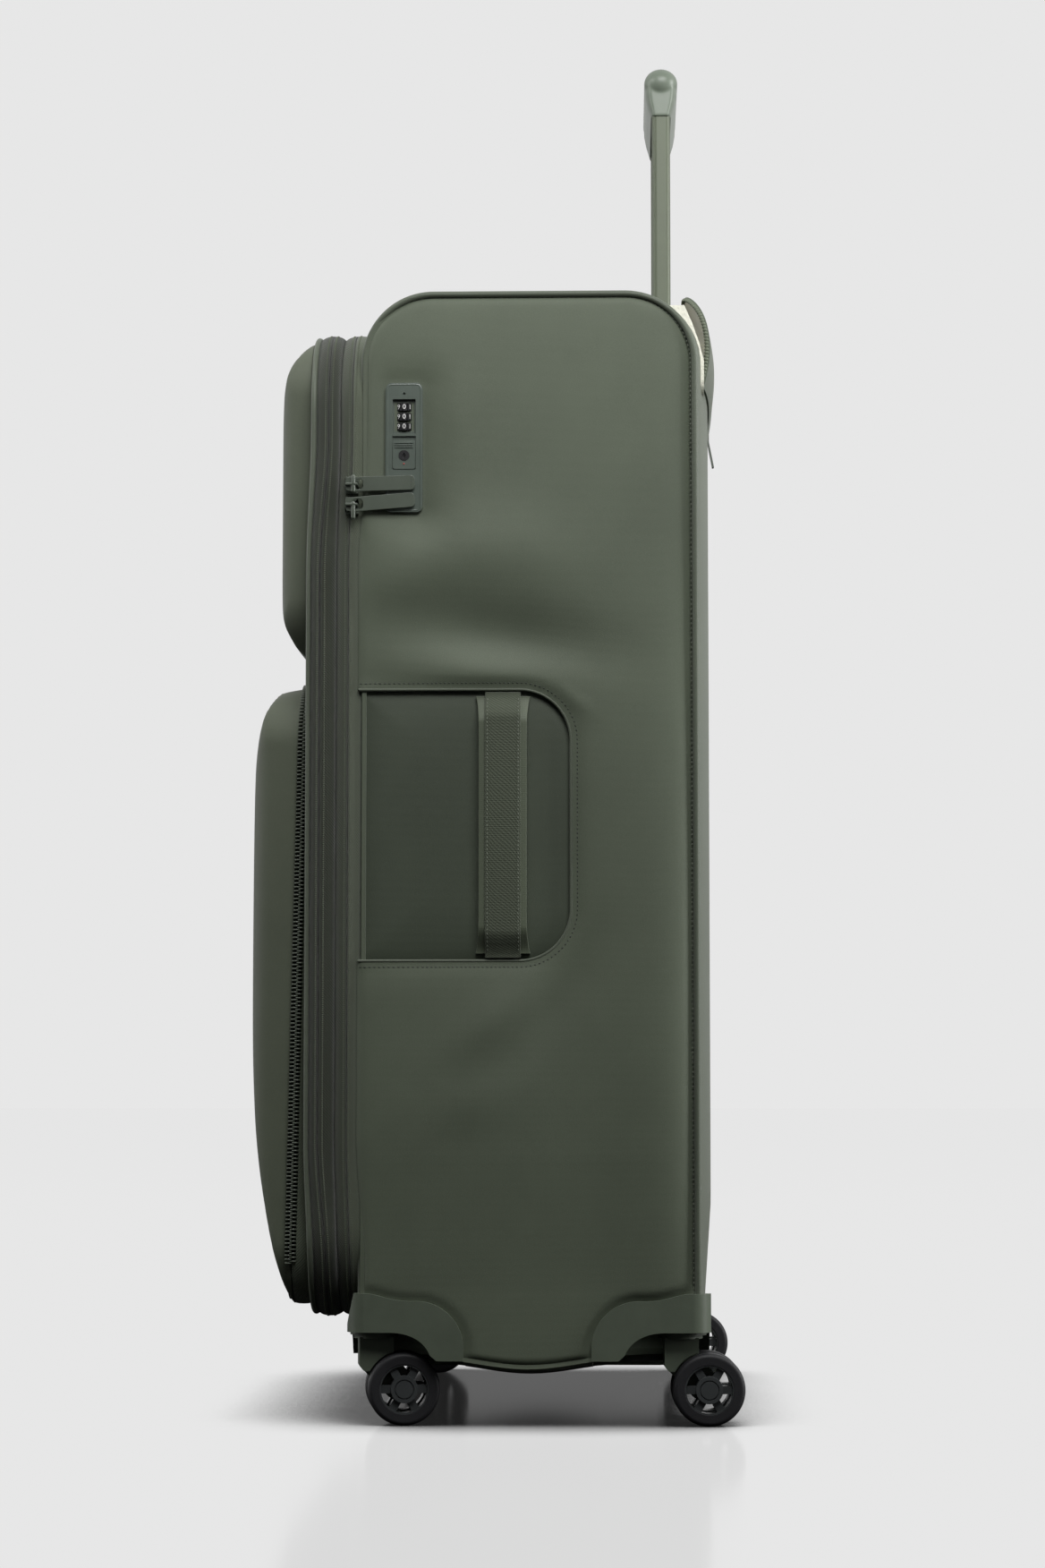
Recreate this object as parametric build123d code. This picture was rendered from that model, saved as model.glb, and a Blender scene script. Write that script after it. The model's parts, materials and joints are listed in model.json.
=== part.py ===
import os
from math import cos, hypot, radians

from build123d import *

os.makedirs("parts", exist_ok=True)

# Driving sizes in millimetres. +X is the carry-handle side, -Y the pocket front, +Z up, floor at z = 0.
case_w = 500.0
case_d = 236.5
seam_low = 46.0
seam_top = 800.0
crown = 12.0
shell_t = 6.0
top_r = 50.0
base_r = 30.0
piping_r = 2.5

wheel_r = 25.3
trail = 18.8
caster_front = 9.8
caster_rear = 224.2
caster_in = 23.0
turn_front_near = 7.3
turn_rear_near = 2.4
turn_front_far = 8.0
turn_rear_far = 4.0

lid_w = 492.0
lid_low = 76.0
lid_top = 778.0
lid_r = 60.0
band_d = 16.3
panel_t = 5.0
pocket_rise = 48.0
upper_rise = 26.0

tube_gap = 120.0
tube_from_mouth = 214.8
tube_x = 20.0
tube_y = 13.8
tube_t = 1.4
grip_top = 1016.0
grip_h = 38.0
grip_w = 150.0
grip_d = 25.5

clear = 0.3
run_fit = 0.05
zip_gap = 0.6

# Derived positions. The origin is under the middle of the outline on the floor.
lid_d = 2 * band_d + panel_t + 0.4
front_reach = lid_d + pocket_rise
rear_reach = caster_rear + trail * cos(radians(turn_rear_near)) + wheel_r
M = (front_reach - rear_reach) / 2
half_w = case_w / 2
back = M + case_d
tube_yc = M + tube_from_mouth
caster_x = half_w - caster_in
chain_main = M - 7.6
chain_exp = M - band_d - 8.2
front_y = M - lid_d


def box(x0, x1, y0, y1, z0, z1):
    return Pos((x0 + x1) / 2, (y0 + y1) / 2, (z0 + z1) / 2) * Box(abs(x1 - x0), abs(y1 - y0), abs(z1 - z0))


def outline(points, radii):
    """Closed face from corner points, each corner rounded with its own radius."""
    n = len(points)
    ends = []
    for i, p in enumerate(points):
        a = points[i - 1]
        b = points[(i + 1) % n]
        r = radii[i]
        la = hypot(a[0] - p[0], a[1] - p[1])
        lb = hypot(b[0] - p[0], b[1] - p[1])
        ua = ((a[0] - p[0]) / la, (a[1] - p[1]) / la)
        ub = ((b[0] - p[0]) / lb, (b[1] - p[1]) / lb)
        if r <= 0:
            ends.append((p, None, p))
            continue
        dot = ua[0] * ub[0] + ua[1] * ub[1]
        half_sin = ((1 - dot) / 2) ** 0.5
        half_cos = ((1 + dot) / 2) ** 0.5
        t = r * half_cos / half_sin
        mid = (ua[0] + ub[0], ua[1] + ub[1])
        lm = hypot(*mid)
        reach = r / half_sin - r
        q = (p[0] + mid[0] / lm * reach, p[1] + mid[1] / lm * reach)
        ends.append(((p[0] + ua[0] * t, p[1] + ua[1] * t), q, (p[0] + ub[0] * t, p[1] + ub[1] * t)))
    edges = []
    for i in range(n):
        s, q, e = ends[i]
        if q is not None:
            edges.append(ThreePointArc(s, q, e))
        nxt = ends[(i + 1) % n][0]
        if hypot(nxt[0] - e[0], nxt[1] - e[1]) > 1e-6:
            edges.append(Line(e, nxt))
    return make_face(Curve() + edges)


def rect(a0, a1, b0, b1, r):
    return outline([(a0, b0), (a1, b0), (a1, b1), (a0, b1)], [r] * 4)


def yz(face, x0, x1):
    return extrude(Pos(x0, 0, 0) * (Plane.YZ * face), amount=x1 - x0)


def xz(face, y0, y1):
    return extrude(Pos(0, y1, 0) * (Plane.XZ * face), amount=y1 - y0)


def xy(face, z0, z1):
    return extrude(Pos(0, 0, z0) * face, amount=z1 - z0)


def cyl(r, length, at, axis="Z"):
    turn = {"X": Rot(0, 90, 0), "Y": Rot(90, 0, 0), "Z": Rot(0, 0, 0)}[axis]
    return Pos(*at) * turn * Cylinder(r, length)


def solid_of(shape):
    parts = shape.solids()
    return Compound(children=list(parts)) if len(parts) > 1 else parts[0]


def save(shape, name):
    export_step(solid_of(shape), "parts/" + name + ".step")


# Case shell: seam outline at the side panels, fuller outline towards mid width.
def case_face(bulge, inset):
    y0 = M + inset
    y1 = back + bulge - inset
    z0 = seam_low - bulge + inset
    z1 = seam_top + bulge - inset
    top = top_r - inset
    low = base_r - inset
    return outline([(y0, z0), (y1, z0), (y1, z1), (y0, z1)], [low, low, top, top])


def case_body(inset):
    side = half_w - inset
    sections = []
    for x in (-side, -0.86 * side, -0.5 * side, 0.0, 0.5 * side, 0.86 * side, side):
        bulge = crown * (1 - (abs(x) / half_w) ** 4)
        sections.append(Pos(x, 0, 0) * (Plane.YZ * case_face(bulge, inset)))
    return loft(sections)


def lid_face(inset):
    w = lid_w / 2 - inset
    return rect(-w, w, lid_low + inset, lid_top - inset, lid_r - inset)


def lid_ring(outer, inner, y0, y1):
    return xz(lid_face(outer), y0, y1) - xz(lid_face(inner), y0 - 1, y1 + 1)


case_outer = case_body(0.0)
case_inner = case_body(shell_t)

# Corner guards: a skirt with a rising top edge, a roof and a round wheel well under it.
guard_in = 62.5
guard_proud = 2.0
guard_wall = 4.0
roof_low = 65.0
roof_top = 69.0
leg_low = 45.4
guard_top = 92.0


def guard_block(front):
    sy = 1.0 if front else -1.0
    yc = M + (caster_front if front else caster_rear)
    top_out = caster_front + 4.5 if front else case_d + 8.8 - caster_rear
    low_out = caster_front + 9.5 if front else top_out
    side = Curve() + [
        Line((-top_out, guard_top), (-6.0, guard_top)),
        Spline((-6.0, guard_top), (4.0, 90.2), (14.0, 87.8), (26.0, 86.6), tangents=[(1, 0), (1, -0.05)]),
        ThreePointArc((26.0, 86.6), (50.0, 79.7), (guard_in, 57.0)),
        Line((guard_in, 57.0), (guard_in, leg_low)),
        Line((guard_in, leg_low), (-low_out, leg_low)),
        Line((-low_out, leg_low), (-low_out, 70.0)),
        Line((-low_out, 70.0), (-top_out, guard_top)),
    ]
    a = yz(make_face(side), caster_x - 70, half_w + guard_proud)
    if not front:
        a = a.mirror(Plane.XZ)
    a = Pos(0, yc, 0) * a
    out = caster_in + guard_proud
    end = Curve() + [
        Line((out, guard_top), (14.0, guard_top)),
        Spline((14.0, guard_top), (5.0, 85.0), (-4.0, 76.5), (-14.0, 74.5), tangents=[(-1, 0), (-1, 0)]),
        Line((-14.0, 74.5), (-28.0, 74.5)),
        ThreePointArc((-28.0, 74.5), (-50.0, 67.5), (-guard_in, 53.0)),
        Line((-guard_in, 53.0), (-guard_in, leg_low)),
        Line((-guard_in, leg_low), (out, leg_low)),
        Line((out, leg_low), (out, guard_top)),
    ]
    b = Pos(caster_x, 0, 0) * xz(make_face(end), yc - 80, yc + 80)
    r = 13.0
    y_out = yc - sy * low_out
    y_in = yc + sy * 80.0
    x_in = caster_x - 80
    x_out = half_w + guard_proud
    corner = [(x_in, y_out), (x_out, y_out), (x_out, y_in), (x_in, y_in)]
    c = xy(outline(corner, [0, r, 0, 0]), leg_low - 1, guard_top + 1)
    return a & b & c


def guard_parts(front):
    sy = 1.0 if front else -1.0
    yc = M + (caster_front if front else caster_rear)
    block = guard_block(front)
    y_face = M - 0.5 if front else back + 8.8 - guard_wall
    room = box(
        caster_x - 90, half_w + guard_proud - guard_wall, y_face, y_face + sy * 120, roof_top, guard_top + 10
    )
    well_edge = Curve() + [
        Line((0, roof_low), (28.0, roof_low)),
        ThreePointArc((28.0, roof_low), (40.0, 59.5), (46.5, 49.5)),
        Line((46.5, 49.5), (51.5, leg_low - 1)),
        Line((51.5, leg_low - 1), (0, leg_low - 1)),
        Line((0, leg_low - 1), (0, roof_low)),
    ]
    well = Pos(caster_x, yc, 0) * revolve(Plane.XZ * make_face(well_edge), Axis.Z)
    guard = block - room - well
    boss_top = roof_top + tray_t
    guard += cyl(boss_r, boss_top - roof_low, (caster_x, yc, (boss_top + roof_low) / 2))
    bore_low = roof_low - 4
    bore_top = pin_top + clear
    guard -= cyl(pin_r + run_fit, bore_top - bore_low, (caster_x, yc, (bore_top + bore_low) / 2))
    for dx, dy in screw_spots:
        guard -= cyl(screw_r, 20, (caster_x + dx, yc + dy * sy, roof_top))
    return block, guard


screw_r = 2.0
screw_spots = [(-19.0, 13.0), (-6.0, 24.0), (8.0, 21.0)]
tray_t = 3.0
boss_r = 11.0
pin_r = 5.0
pin_top = roof_top + tray_t - 1.0
block_front, guard_front = guard_parts(True)
block_rear, guard_rear = guard_parts(False)
guards = {
    "corner_guard_front_near": guard_front,
    "corner_guard_rear_near": guard_rear,
    "corner_guard_front_far": guard_front.mirror(Plane.YZ),
    "corner_guard_rear_far": guard_rear.mirror(Plane.YZ),
}
blocks = [block_front, block_rear, block_front.mirror(Plane.YZ), block_rear.mirror(Plane.YZ)]
guard_x = caster_x - guard_in
under_guards = []
for sx in (-1, 1):
    x_a = sx * guard_x
    x_b = sx * (half_w + 20)
    under_guards.append(box(x_a, x_b, M - 30, M + caster_front + guard_in, 0, leg_low))
    under_guards.append(box(x_a, x_b, M + caster_rear - guard_in, back + 30, 0, leg_low))

# Edge piping along both side panels, and round the carry-handle panel.
pipe_x = half_w - 1.0
seam_corners = [
    (M + 1.0, seam_low + 1),
    (back - 1.0, seam_low + 1),
    (back - 1.0, seam_top - 1),
    (M + 1.0, seam_top - 1),
]
seam_path = outline(seam_corners, [base_r - 1, base_r - 1, top_r - 1, top_r - 1]).wires()[0]
seam_path = Pos(pipe_x, 0, 0) * (Plane.YZ * seam_path)
pipe = sweep(Plane(origin=seam_path @ 0.0, z_dir=seam_path % 0.0) * Circle(piping_r), path=seam_path)
pipe_far = pipe.mirror(Plane.YZ)

hp_y0 = M + 6.0
hp_y1 = M + 149.5
hp_z0 = 322.5
hp_z1 = 517.3
hp_r = 38.0
hp_corners = [(hp_y0, hp_z0), (hp_y1, hp_z0), (hp_y1, hp_z1), (hp_y0, hp_z1)]
hp_face = outline(hp_corners, [6.0, hp_r, hp_r, 6.0])
hp_path = Pos(half_w - 0.6, 0, 0) * (Plane.YZ * hp_face.wires()[0])
hp_pipe_r = 2.0
hp_pipe = sweep(Plane(origin=hp_path @ 0.0, z_dir=hp_path % 0.0) * Circle(hp_pipe_r), path=hp_path)

# Rear compartment for the pull handle: opening, cream liner tray and handle bezel.
rear_open_x = 212.0
rear_open_y = M + 197.5
rear_hinge_z = 738.0
liner_t = 2.0
tray_z = 733.0
rear_cut = box(-rear_open_x, rear_open_x, rear_open_y, back + 60, rear_hinge_z, seam_top + 60)

# Lock position on the near side panel.
lock_yc = M + 29.4
lock_w = 26.4
lock_z0 = 642.5
lock_z1 = 735.5
lock_face_x = half_w + 1.8
pin_drop = 7.9
box_y = 10.6
lock_box_z0 = 668.0
lock_box_z1 = 727.8
lock_depth = 14.0
lock_in_x = half_w - lock_depth
lock_box = box(lock_in_x, half_w, lock_yc - box_y, lock_yc + box_y, lock_box_z0, lock_box_z1)

shell = case_outer - case_inner
shell -= xz(lid_face(5.0), M - 20, M + top_r + 10)
for b in blocks:
    shell -= b
for b in under_guards:
    shell -= b
shell -= rear_cut
shell -= yz(hp_face, half_w - shell_t - 2, half_w + 5)
shell -= lock_box
shell -= pipe
shell -= pipe_far
shell -= hp_pipe
save(shell, "case_shell")

hp_t = 2.5
hp_out = half_w - shell_t + hp_t
panel = yz(hp_face, half_w - shell_t, hp_out) - hp_pipe
save(panel, "handle_panel")

pipe_near = pipe
pipe_other = pipe_far
for b in blocks + under_guards:
    pipe_near -= b
    pipe_other -= b
save(Compound(children=[solid_of(pipe_near), solid_of(pipe_other), solid_of(hp_pipe)]), "edge_piping")

# Carry handle: padded strap with a webbing face, finger room behind it.
pad_y = M + 99.9
pad_w = 36.8
web_w = 25.0
pad_in = half_w + 4.6
pad_t = 3.0
web_t = 1.8
ramp = 17.0
pz0 = hp_z0 + 6.5
pz1 = hp_z1 - 6.5
pad_pts = [
    (hp_out, pz0),
    (pad_in + pad_t, pz0 + ramp),
    (pad_in + pad_t, pz1 - ramp),
    (hp_out, pz1),
    (hp_out, pz1 - 6),
    (pad_in, pz1 - ramp - 1.7),
    (pad_in, pz0 + ramp + 1.7),
    (hp_out, pz0 + 6),
]
pad_face = outline(pad_pts, [0, 14, 14, 0, 0, 11, 11, 0])
web_pts = [
    (hp_out, pz0 - 3),
    (pad_in + pad_t + web_t, pz0 + ramp - 1),
    (pad_in + pad_t + web_t, pz1 - ramp + 1),
    (hp_out, pz1 + 3),
]
web_face = outline(web_pts, [0, 15.8, 15.8, 0])
under_face = outline(pad_pts[:4], [0, 14, 14, 0])
pad = xz(pad_face, pad_y - pad_w / 2, pad_y + pad_w / 2)
webbing = xz(web_face, pad_y - web_w / 2, pad_y + web_w / 2)
webbing -= xz(under_face, pad_y - web_w, pad_y + web_w)
save(pad, "carry_handle_pad")
save(webbing, "carry_handle_webbing")

# Base tray on the guard roofs, with ribs and sockets for the outer tubes.
out_x = tube_x + 4.0
out_y = tube_y + 4.0
tray_face = rect(-half_w + shell_t + 1, half_w - shell_t - 1, M + shell_t + 1, back - shell_t - 1.5, 20.0)
tray = xy(tray_face, roof_top, roof_top + tray_t)
for k in (0.40, 0.5, 0.60):
    yr = M + case_d * k
    tray += box(-150, 150, yr - 1.5, yr + 1.5, seam_low + shell_t + 3, roof_top)
for sx in (-1, 1):
    xc = sx * tube_gap / 2
    post_x = out_x / 2 + 3
    post_y = out_y / 2 + 3
    tray += box(xc - post_x, xc + post_x, tube_yc - post_y, tube_yc + post_y, roof_top, 95)
    socket = rect(xc - out_x / 2, xc + out_x / 2, tube_yc - out_y / 2, tube_yc + out_y / 2, 5.0)
    tray -= xy(socket, roof_top + tray_t, 100)
screws = []
for front in (True, False):
    sy = 1.0 if front else -1.0
    yc = M + (caster_front if front else caster_rear)
    for sx in (-1, 1):
        tray -= cyl(boss_r, 40, (sx * caster_x, yc, roof_top))
        for dx, dy in screw_spots:
            at = (sx * (caster_x + dx), yc + dy * sy)
            tray -= cyl(screw_r, 40, (at[0], at[1], roof_top))
            tray -= cyl(4.0, 2.2, (at[0], at[1], roof_top + tray_t - 1.1))
            screw = cyl(screw_r, 5.0, (at[0], at[1], roof_top - 1.7))
            screw += cyl(4.0, 2.2, (at[0], at[1], roof_top + tray_t - 1.1))
            head = roof_top + tray_t
            screw -= box(at[0] - 3, at[0] + 3, at[1] - 0.5, at[1] + 0.5, head - 0.8, head)
            screws.append(solid_of(screw))
save(tray, "base_tray")
save(Compound(children=screws), "caster_screws")
for name, g in guards.items():
    save(g, name)

# False back and main lining.
board_y = M + 192.0
board_t = 2.5
board = box(-half_w + 10, half_w - 10, board_y, board_y + board_t, roof_top + tray_t, seam_top - 14)
save(board, "back_board")

fab = 1.0
lin_pts = [
    (M + shell_t + 1, roof_top + tray_t),
    (board_y, roof_top + tray_t),
    (board_y, seam_top - shell_t - 1),
    (M + shell_t + 1, seam_top - shell_t - 1),
]
lin_in = [
    (M + shell_t + 1 + fab, roof_top + tray_t + fab),
    (board_y - fab, roof_top + tray_t + fab),
    (board_y - fab, seam_top - shell_t - 1 - fab),
    (M + shell_t + 1 + fab, seam_top - shell_t - 1 - fab),
]
lin_r = [12.0, 6.0, 6.0, top_r - shell_t - 1]
lin_x = half_w - shell_t - 1
lock_room = box_y + 0.5
lining = yz(outline(lin_pts, lin_r), -lin_x, lin_x)
lining -= yz(outline(lin_in, [r - fab for r in lin_r]), fab - lin_x, lin_x - fab)
lining -= xz(lid_face(5.0), M - 20, M + top_r + 10)
lining -= box(
    lock_in_x - 0.5, half_w, lock_yc - lock_room, lock_yc + lock_room, lock_box_z0 - 0.5, lock_box_z1 + 0.5
)
save(lining, "case_lining")

# Rear liner tray, open to the back and top, closed by the flap.
liner_block = box(-rear_open_x, rear_open_x, rear_open_y, back + 40, rear_hinge_z, seam_top + 40) & case_outer
low_block = box(-rear_open_x, rear_open_x, rear_open_y, back - shell_t - 0.5, tray_z, rear_hinge_z)
liner = liner_block + low_block
room_x = rear_open_x - liner_t
liner -= box(-room_x, room_x, rear_open_y + liner_t, back + 80, rear_hinge_z, seam_top + 80)
low_room = box(
    -rear_open_x + liner_t,
    rear_open_x - liner_t,
    rear_open_y + liner_t,
    back - shell_t - 0.5 - liner_t,
    tray_z + liner_t,
    rear_hinge_z + 1,
)
liner -= low_room
bezel_t = 3.0
hole_r = 4.4
bez_x = tube_gap / 2 + 24
bezel_face = rect(-bez_x, bez_x, tube_yc - 13, tube_yc + 11.4, 5.0)
bezel = xy(bezel_face, tray_z + liner_t, tray_z + liner_t + bezel_t)
outer_tubes = []
inner_tubes = []


def tube_face(xc, wx, wy, r):
    return rect(xc - wx / 2, xc + wx / 2, tube_yc - wy / 2, tube_yc + wy / 2, r)


tube_low = grip_top - grip_h - 560
for sx in (-1, 1):
    xc = sx * tube_gap / 2
    hole = tube_face(xc, tube_x + 2 * clear, tube_y + 2 * clear, hole_r)
    liner -= xy(hole, tray_z - 5, tray_z + 20)
    bezel -= xy(hole, tray_z - 5, tray_z + 20)
    ot = xy(tube_face(xc, out_x, out_y, 5.0), roof_top + tray_t, tray_z)
    ot -= xy(tube_face(xc, tube_x + 1, tube_y + 1, 4.5), roof_top - 10, tray_z + 10)
    outer_tubes.append(solid_of(ot))
    skin = tube_face(xc, tube_x, tube_y, 4.0)
    core_face = tube_face(xc, tube_x - 2 * tube_t, tube_y - 2 * tube_t, 2.6)
    it = xy(skin, tube_low, grip_top - grip_h + 12) - xy(core_face, tube_low - 5, grip_top)
    inner_tubes.append(solid_of(it))
save(liner, "rear_pocket_liner")
save(bezel, "handle_bezel")
save(Compound(children=outer_tubes), "handle_outer_tubes")
save(Compound(children=inner_tubes), "handle_inner_tubes")

# Grip: pear-section bar with overhanging ends, thumb button and release yoke inside it.
grip_low = grip_top - grip_h
gd = grip_d / 2
egg_side = [
    (7.6, grip_low),
    (10.6, grip_low + 8),
    (gd, grip_low + 19.5),
    (gd * 0.72, grip_top - 4.3),
    (0, grip_top),
]
egg = Curve() + [
    Line((-7.6, grip_low), (7.6, grip_low)),
    Spline(*egg_side, tangents=[(0.5, 1), (-1, 0)]),
    Spline(*[(-a, b) for a, b in reversed(egg_side)], tangents=[(-1, 0), (0.5, -1)]),
]
bar = Pos(0, tube_yc, 0) * yz(make_face(egg), -grip_w / 2, grip_w / 2)
cap_pts = [
    (-grip_w / 2, grip_low - 5),
    (grip_w / 2, grip_low - 5),
    (grip_w / 2, grip_top),
    (-grip_w / 2, grip_top),
]
bar &= xz(outline(cap_pts, [0, 0, 11.0, 11.0]), tube_yc - 30, tube_yc + 30)
neck = tube_gap / 2 + tube_x / 2 + 2.0
for sx in (-1, 1):
    bar -= box(sx * neck, sx * (grip_w / 2 + 5), tube_yc - 30, tube_yc + 30, grip_low - 5, grip_low + 16)
    xc = sx * tube_gap / 2
    bar -= xy(tube_face(xc, tube_x, tube_y, 4.0), grip_low - 5, grip_low + 12)
press = 4.0
btn_face = rect(-18.0, 18.0, tube_yc - 5.5, tube_yc + 5.5, 5.4)
btn_room = rect(-18.0 - clear, 18.0 + clear, tube_yc - 5.5 - clear, tube_yc + 5.5 + clear, 5.4 + clear)
button = bar & xy(btn_face, grip_low + 24, grip_top + 5)
yoke_z0 = grip_low + 18.0
yoke_z1 = grip_low + 24.0
bar -= xy(btn_room, grip_low + 24 - press - 1.0, grip_top + 5)
yoke_room = tube_gap / 2 + 5
bar -= box(-yoke_room, yoke_room, tube_yc - 3.5, tube_yc + 3.5, yoke_z0 - press - 1.0, yoke_z1 + 0.6)
for sx in (-1, 1):
    bar -= xy(tube_face(sx * tube_gap / 2, 10.0, 7.0, 2.0), grip_low + 8, yoke_z0)
yoke = box(-tube_gap / 2 - 3, tube_gap / 2 + 3, tube_yc - 2.5, tube_yc + 2.5, yoke_z0, yoke_z1)
for sx in (-1, 1):
    yoke += cyl(2.5, 530, (sx * tube_gap / 2, tube_yc, yoke_z0 + 1 - 265))
save(bar, "handle_grip")
save(button, "handle_button")
save(yoke, "release_rods")

# Zip bands: one half on the case, the lid band between the two chains, one half on the front panel.
tape_t = 3.5
bead = 0.9
bead_w = 2.2


def band(y0, y1, beads):
    ring = lid_ring(0, tape_t, y0, y1)
    for b0, b1 in beads:
        ring += lid_ring(-bead, tape_t - 1, b0, b1)
    return ring


half_gap = zip_gap / 2
case_edge = chain_main + half_gap
case_half = band(case_edge, M + 12, [(case_edge, case_edge + bead_w)]) - case_outer
case_half -= case_inner
strip_z0 = 210.0
strip_z1 = 640.0
strip_y0 = M - band_d
strip_in = -lid_w / 2 + tape_t
strip_cut = box(-lid_w / 2 - 6, strip_in + 1, strip_y0 - clear, M + 14, strip_z0 - clear, strip_z1 + clear)
case_half -= strip_cut
save(case_half, "main_zip_case_half")
strip = box(-lid_w / 2, strip_in, strip_y0, M, strip_z0, strip_z1)
save(strip, "lid_hinge_strip")

lid_back = chain_main - half_gap
lid_front = chain_exp + half_gap
lid_beads = [(lid_back - bead_w, lid_back), (lid_front, lid_front + bead_w)]
lid_band = band(lid_front, lid_back, lid_beads) - strip_cut
save(lid_band, "lid_band")
gusset = lid_ring(tape_t + 0.5, tape_t + 3.5, chain_exp - 5, chain_exp + 6)
save(gusset, "expansion_gusset")

exp_back = chain_exp - half_gap
panel_back = front_y + panel_t
exp_half = band(panel_back, exp_back, [(exp_back - bead_w, exp_back)])
save(exp_half, "expander_zip_half")

fp_wire = Pos(0, front_y + piping_r, 0) * (Plane.XZ * lid_face(1.0).wires()[0])
front_pipe = sweep(Plane(origin=fp_wire @ 0.0, z_dir=fp_wire % 0.0) * Circle(piping_r), path=fp_wire)
front_pipe -= exp_half
save(front_pipe, "front_piping")

# Lower pocket: rim on the front panel, domed front that folds down on its bottom edge.
rim_d = 8.0
rim_t = 3.0
pk_x = lid_w / 2 - 10
pk_z0 = lid_low + 6
pk_z1 = 520.0
pk_r = 45.0
pk_base = front_y - rim_d
front_panel = xz(lid_face(3.0), front_y, panel_back) - front_pipe
rim = xz(rect(-pk_x, pk_x, pk_z0, pk_z1, pk_r), pk_base, front_y)
rim_in = pk_x - rim_t
rim -= xz(rect(-rim_in, rim_in, pk_z0 + rim_t, pk_z1 - rim_t, pk_r - rim_t), pk_base - 1, front_y + 1)
front_panel += rim
save(front_panel, "front_panel")


def dome(base_y, z0, z1, rise, side_pts, cover_x, wall, corner_r):
    """Soft pocket front: side curve, plan curve and front outline crossed; wall > 0 gives the inner form."""
    zs = z1 - z0
    pts = [(base_y - rise * p + wall, z0 + zs * q) for p, q in side_pts]
    tail = base_y + 30
    side = Curve() + [
        Spline(*pts),
        Line(pts[-1], (tail, pts[-1][1])),
        Line((tail, pts[-1][1]), (tail, pts[0][1])),
        Line((tail, pts[0][1]), pts[0]),
    ]
    hx = cover_x
    plan = [(1.0, 0.0), (0.992, 0.4), (0.958, 0.74), (0.89, 0.86), (0.62, 0.955)]
    right = [(hx * p, base_y - rise * q + wall) for p, q in plan]
    left = [(-p[0], p[1]) for p in reversed(right)]
    curve = right + [(0.0, base_y - rise + wall)] + left
    top = Curve() + [
        Spline(*curve),
        Line(curve[-1], (-hx, tail)),
        Line((-hx, tail), (hx, tail)),
        Line((hx, tail), curve[0]),
    ]
    face = rect(-hx + wall, hx - wall, z0 + wall, z1 - wall, corner_r - wall)
    body = xz(face, base_y - rise - 5, base_y + (20 if wall else 0))
    return body & yz(make_face(side), -hx - 1, hx + 1) & xy(make_face(top), z0 - 1, z1 + 1)


low_side = [
    (0.0, 0.0), (0.2, 0.046), (0.5, 0.145), (0.81, 0.305), (0.975, 0.5), (1.0, 0.655),
    (0.9, 0.86), (0.66, 0.952), (0.27, 0.99), (0.0, 1.0),
]
up_side = [
    (0.0, 0.0), (0.48, 0.05), (0.9, 0.17), (1.0, 0.39),
    (0.95, 0.68), (0.79, 0.885), (0.46, 0.968), (0.0, 1.0),
]
pk_rise = pocket_rise - rim_d - clear - 0.1
pk_front_y = pk_base - clear - 0.1
pocket_wall = 4.0
pk_front = dome(pk_front_y, pk_z0, pk_z1, pk_rise, low_side, pk_x, 0.0, pk_r)
pk_front -= dome(pk_front_y, pk_z0, pk_z1, pk_rise, low_side, pk_x, pocket_wall, pk_r)
save(pk_front, "lower_pocket")

up_z0 = 540.0
up_z1 = 771.0
upper = dome(front_y, up_z0, up_z1, upper_rise, up_side, pk_x, 0.0, pk_r)
save(upper, "upper_pocket")

# Rear flap, standing a little open as in the photo, hinged along its lower edge.
hinge_y = back + crown + clear + 0.1
hinge_z = rear_hinge_z - 1.5
flap_t = 3.0
flap_x = rear_open_x + 6
flap_top_y = tube_yc + grip_d / 2 + 1.2
flap_top_z = 808.0
inner_arc = ThreePointArc((hinge_y, hinge_z), (hinge_y + 1.0, hinge_z + 30), (flap_top_y, flap_top_z))
outer_arc = ThreePointArc(
    (hinge_y + 1.2, hinge_z + 1.2),
    (hinge_y + 1.0 + flap_t, hinge_z + 31),
    (flap_top_y + 2.2, flap_top_z + 2.0),
)
flap_edges = [
    inner_arc,
    Line(inner_arc @ 1, outer_arc @ 1),
    outer_arc,
    Line(outer_arc @ 0, inner_arc @ 0),
]
flap = yz(make_face(Curve() + flap_edges), -flap_x, flap_x)
save(flap, "rear_flap")
fs_x = -flap_x + 9
fs_z = 778.0
fs_y = hinge_y + 4.6
flap_slider = box(fs_x - 4.5, fs_x + 4.5, fs_y - 4.0, fs_y + 2.6, fs_z - 6, fs_z + 6)
flap_slider += Pos(fs_x, fs_y + 4.4, fs_z - 12) * Rot(11, 0, 0) * Box(8.0, 1.6, 26.0)
flap_slider += box(fs_x - 2.0, fs_x + 2.0, fs_y + 2.0, fs_y + 3.6, fs_z - 5, fs_z + 3)
flap_slider -= Pos(0, clear + 0.15, 0) * flap
save(flap_slider, "rear_zip_slider")

# Zip sliders on the near side with their pull tabs, and the hidden ones.
slot_x = lid_w / 2 + bead
tab_t = 1.6
tab_w = 10.4
rib_out = lock_face_x + 1.1
tab_in = rib_out + clear
eye_y = chain_main - 0.7


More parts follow.
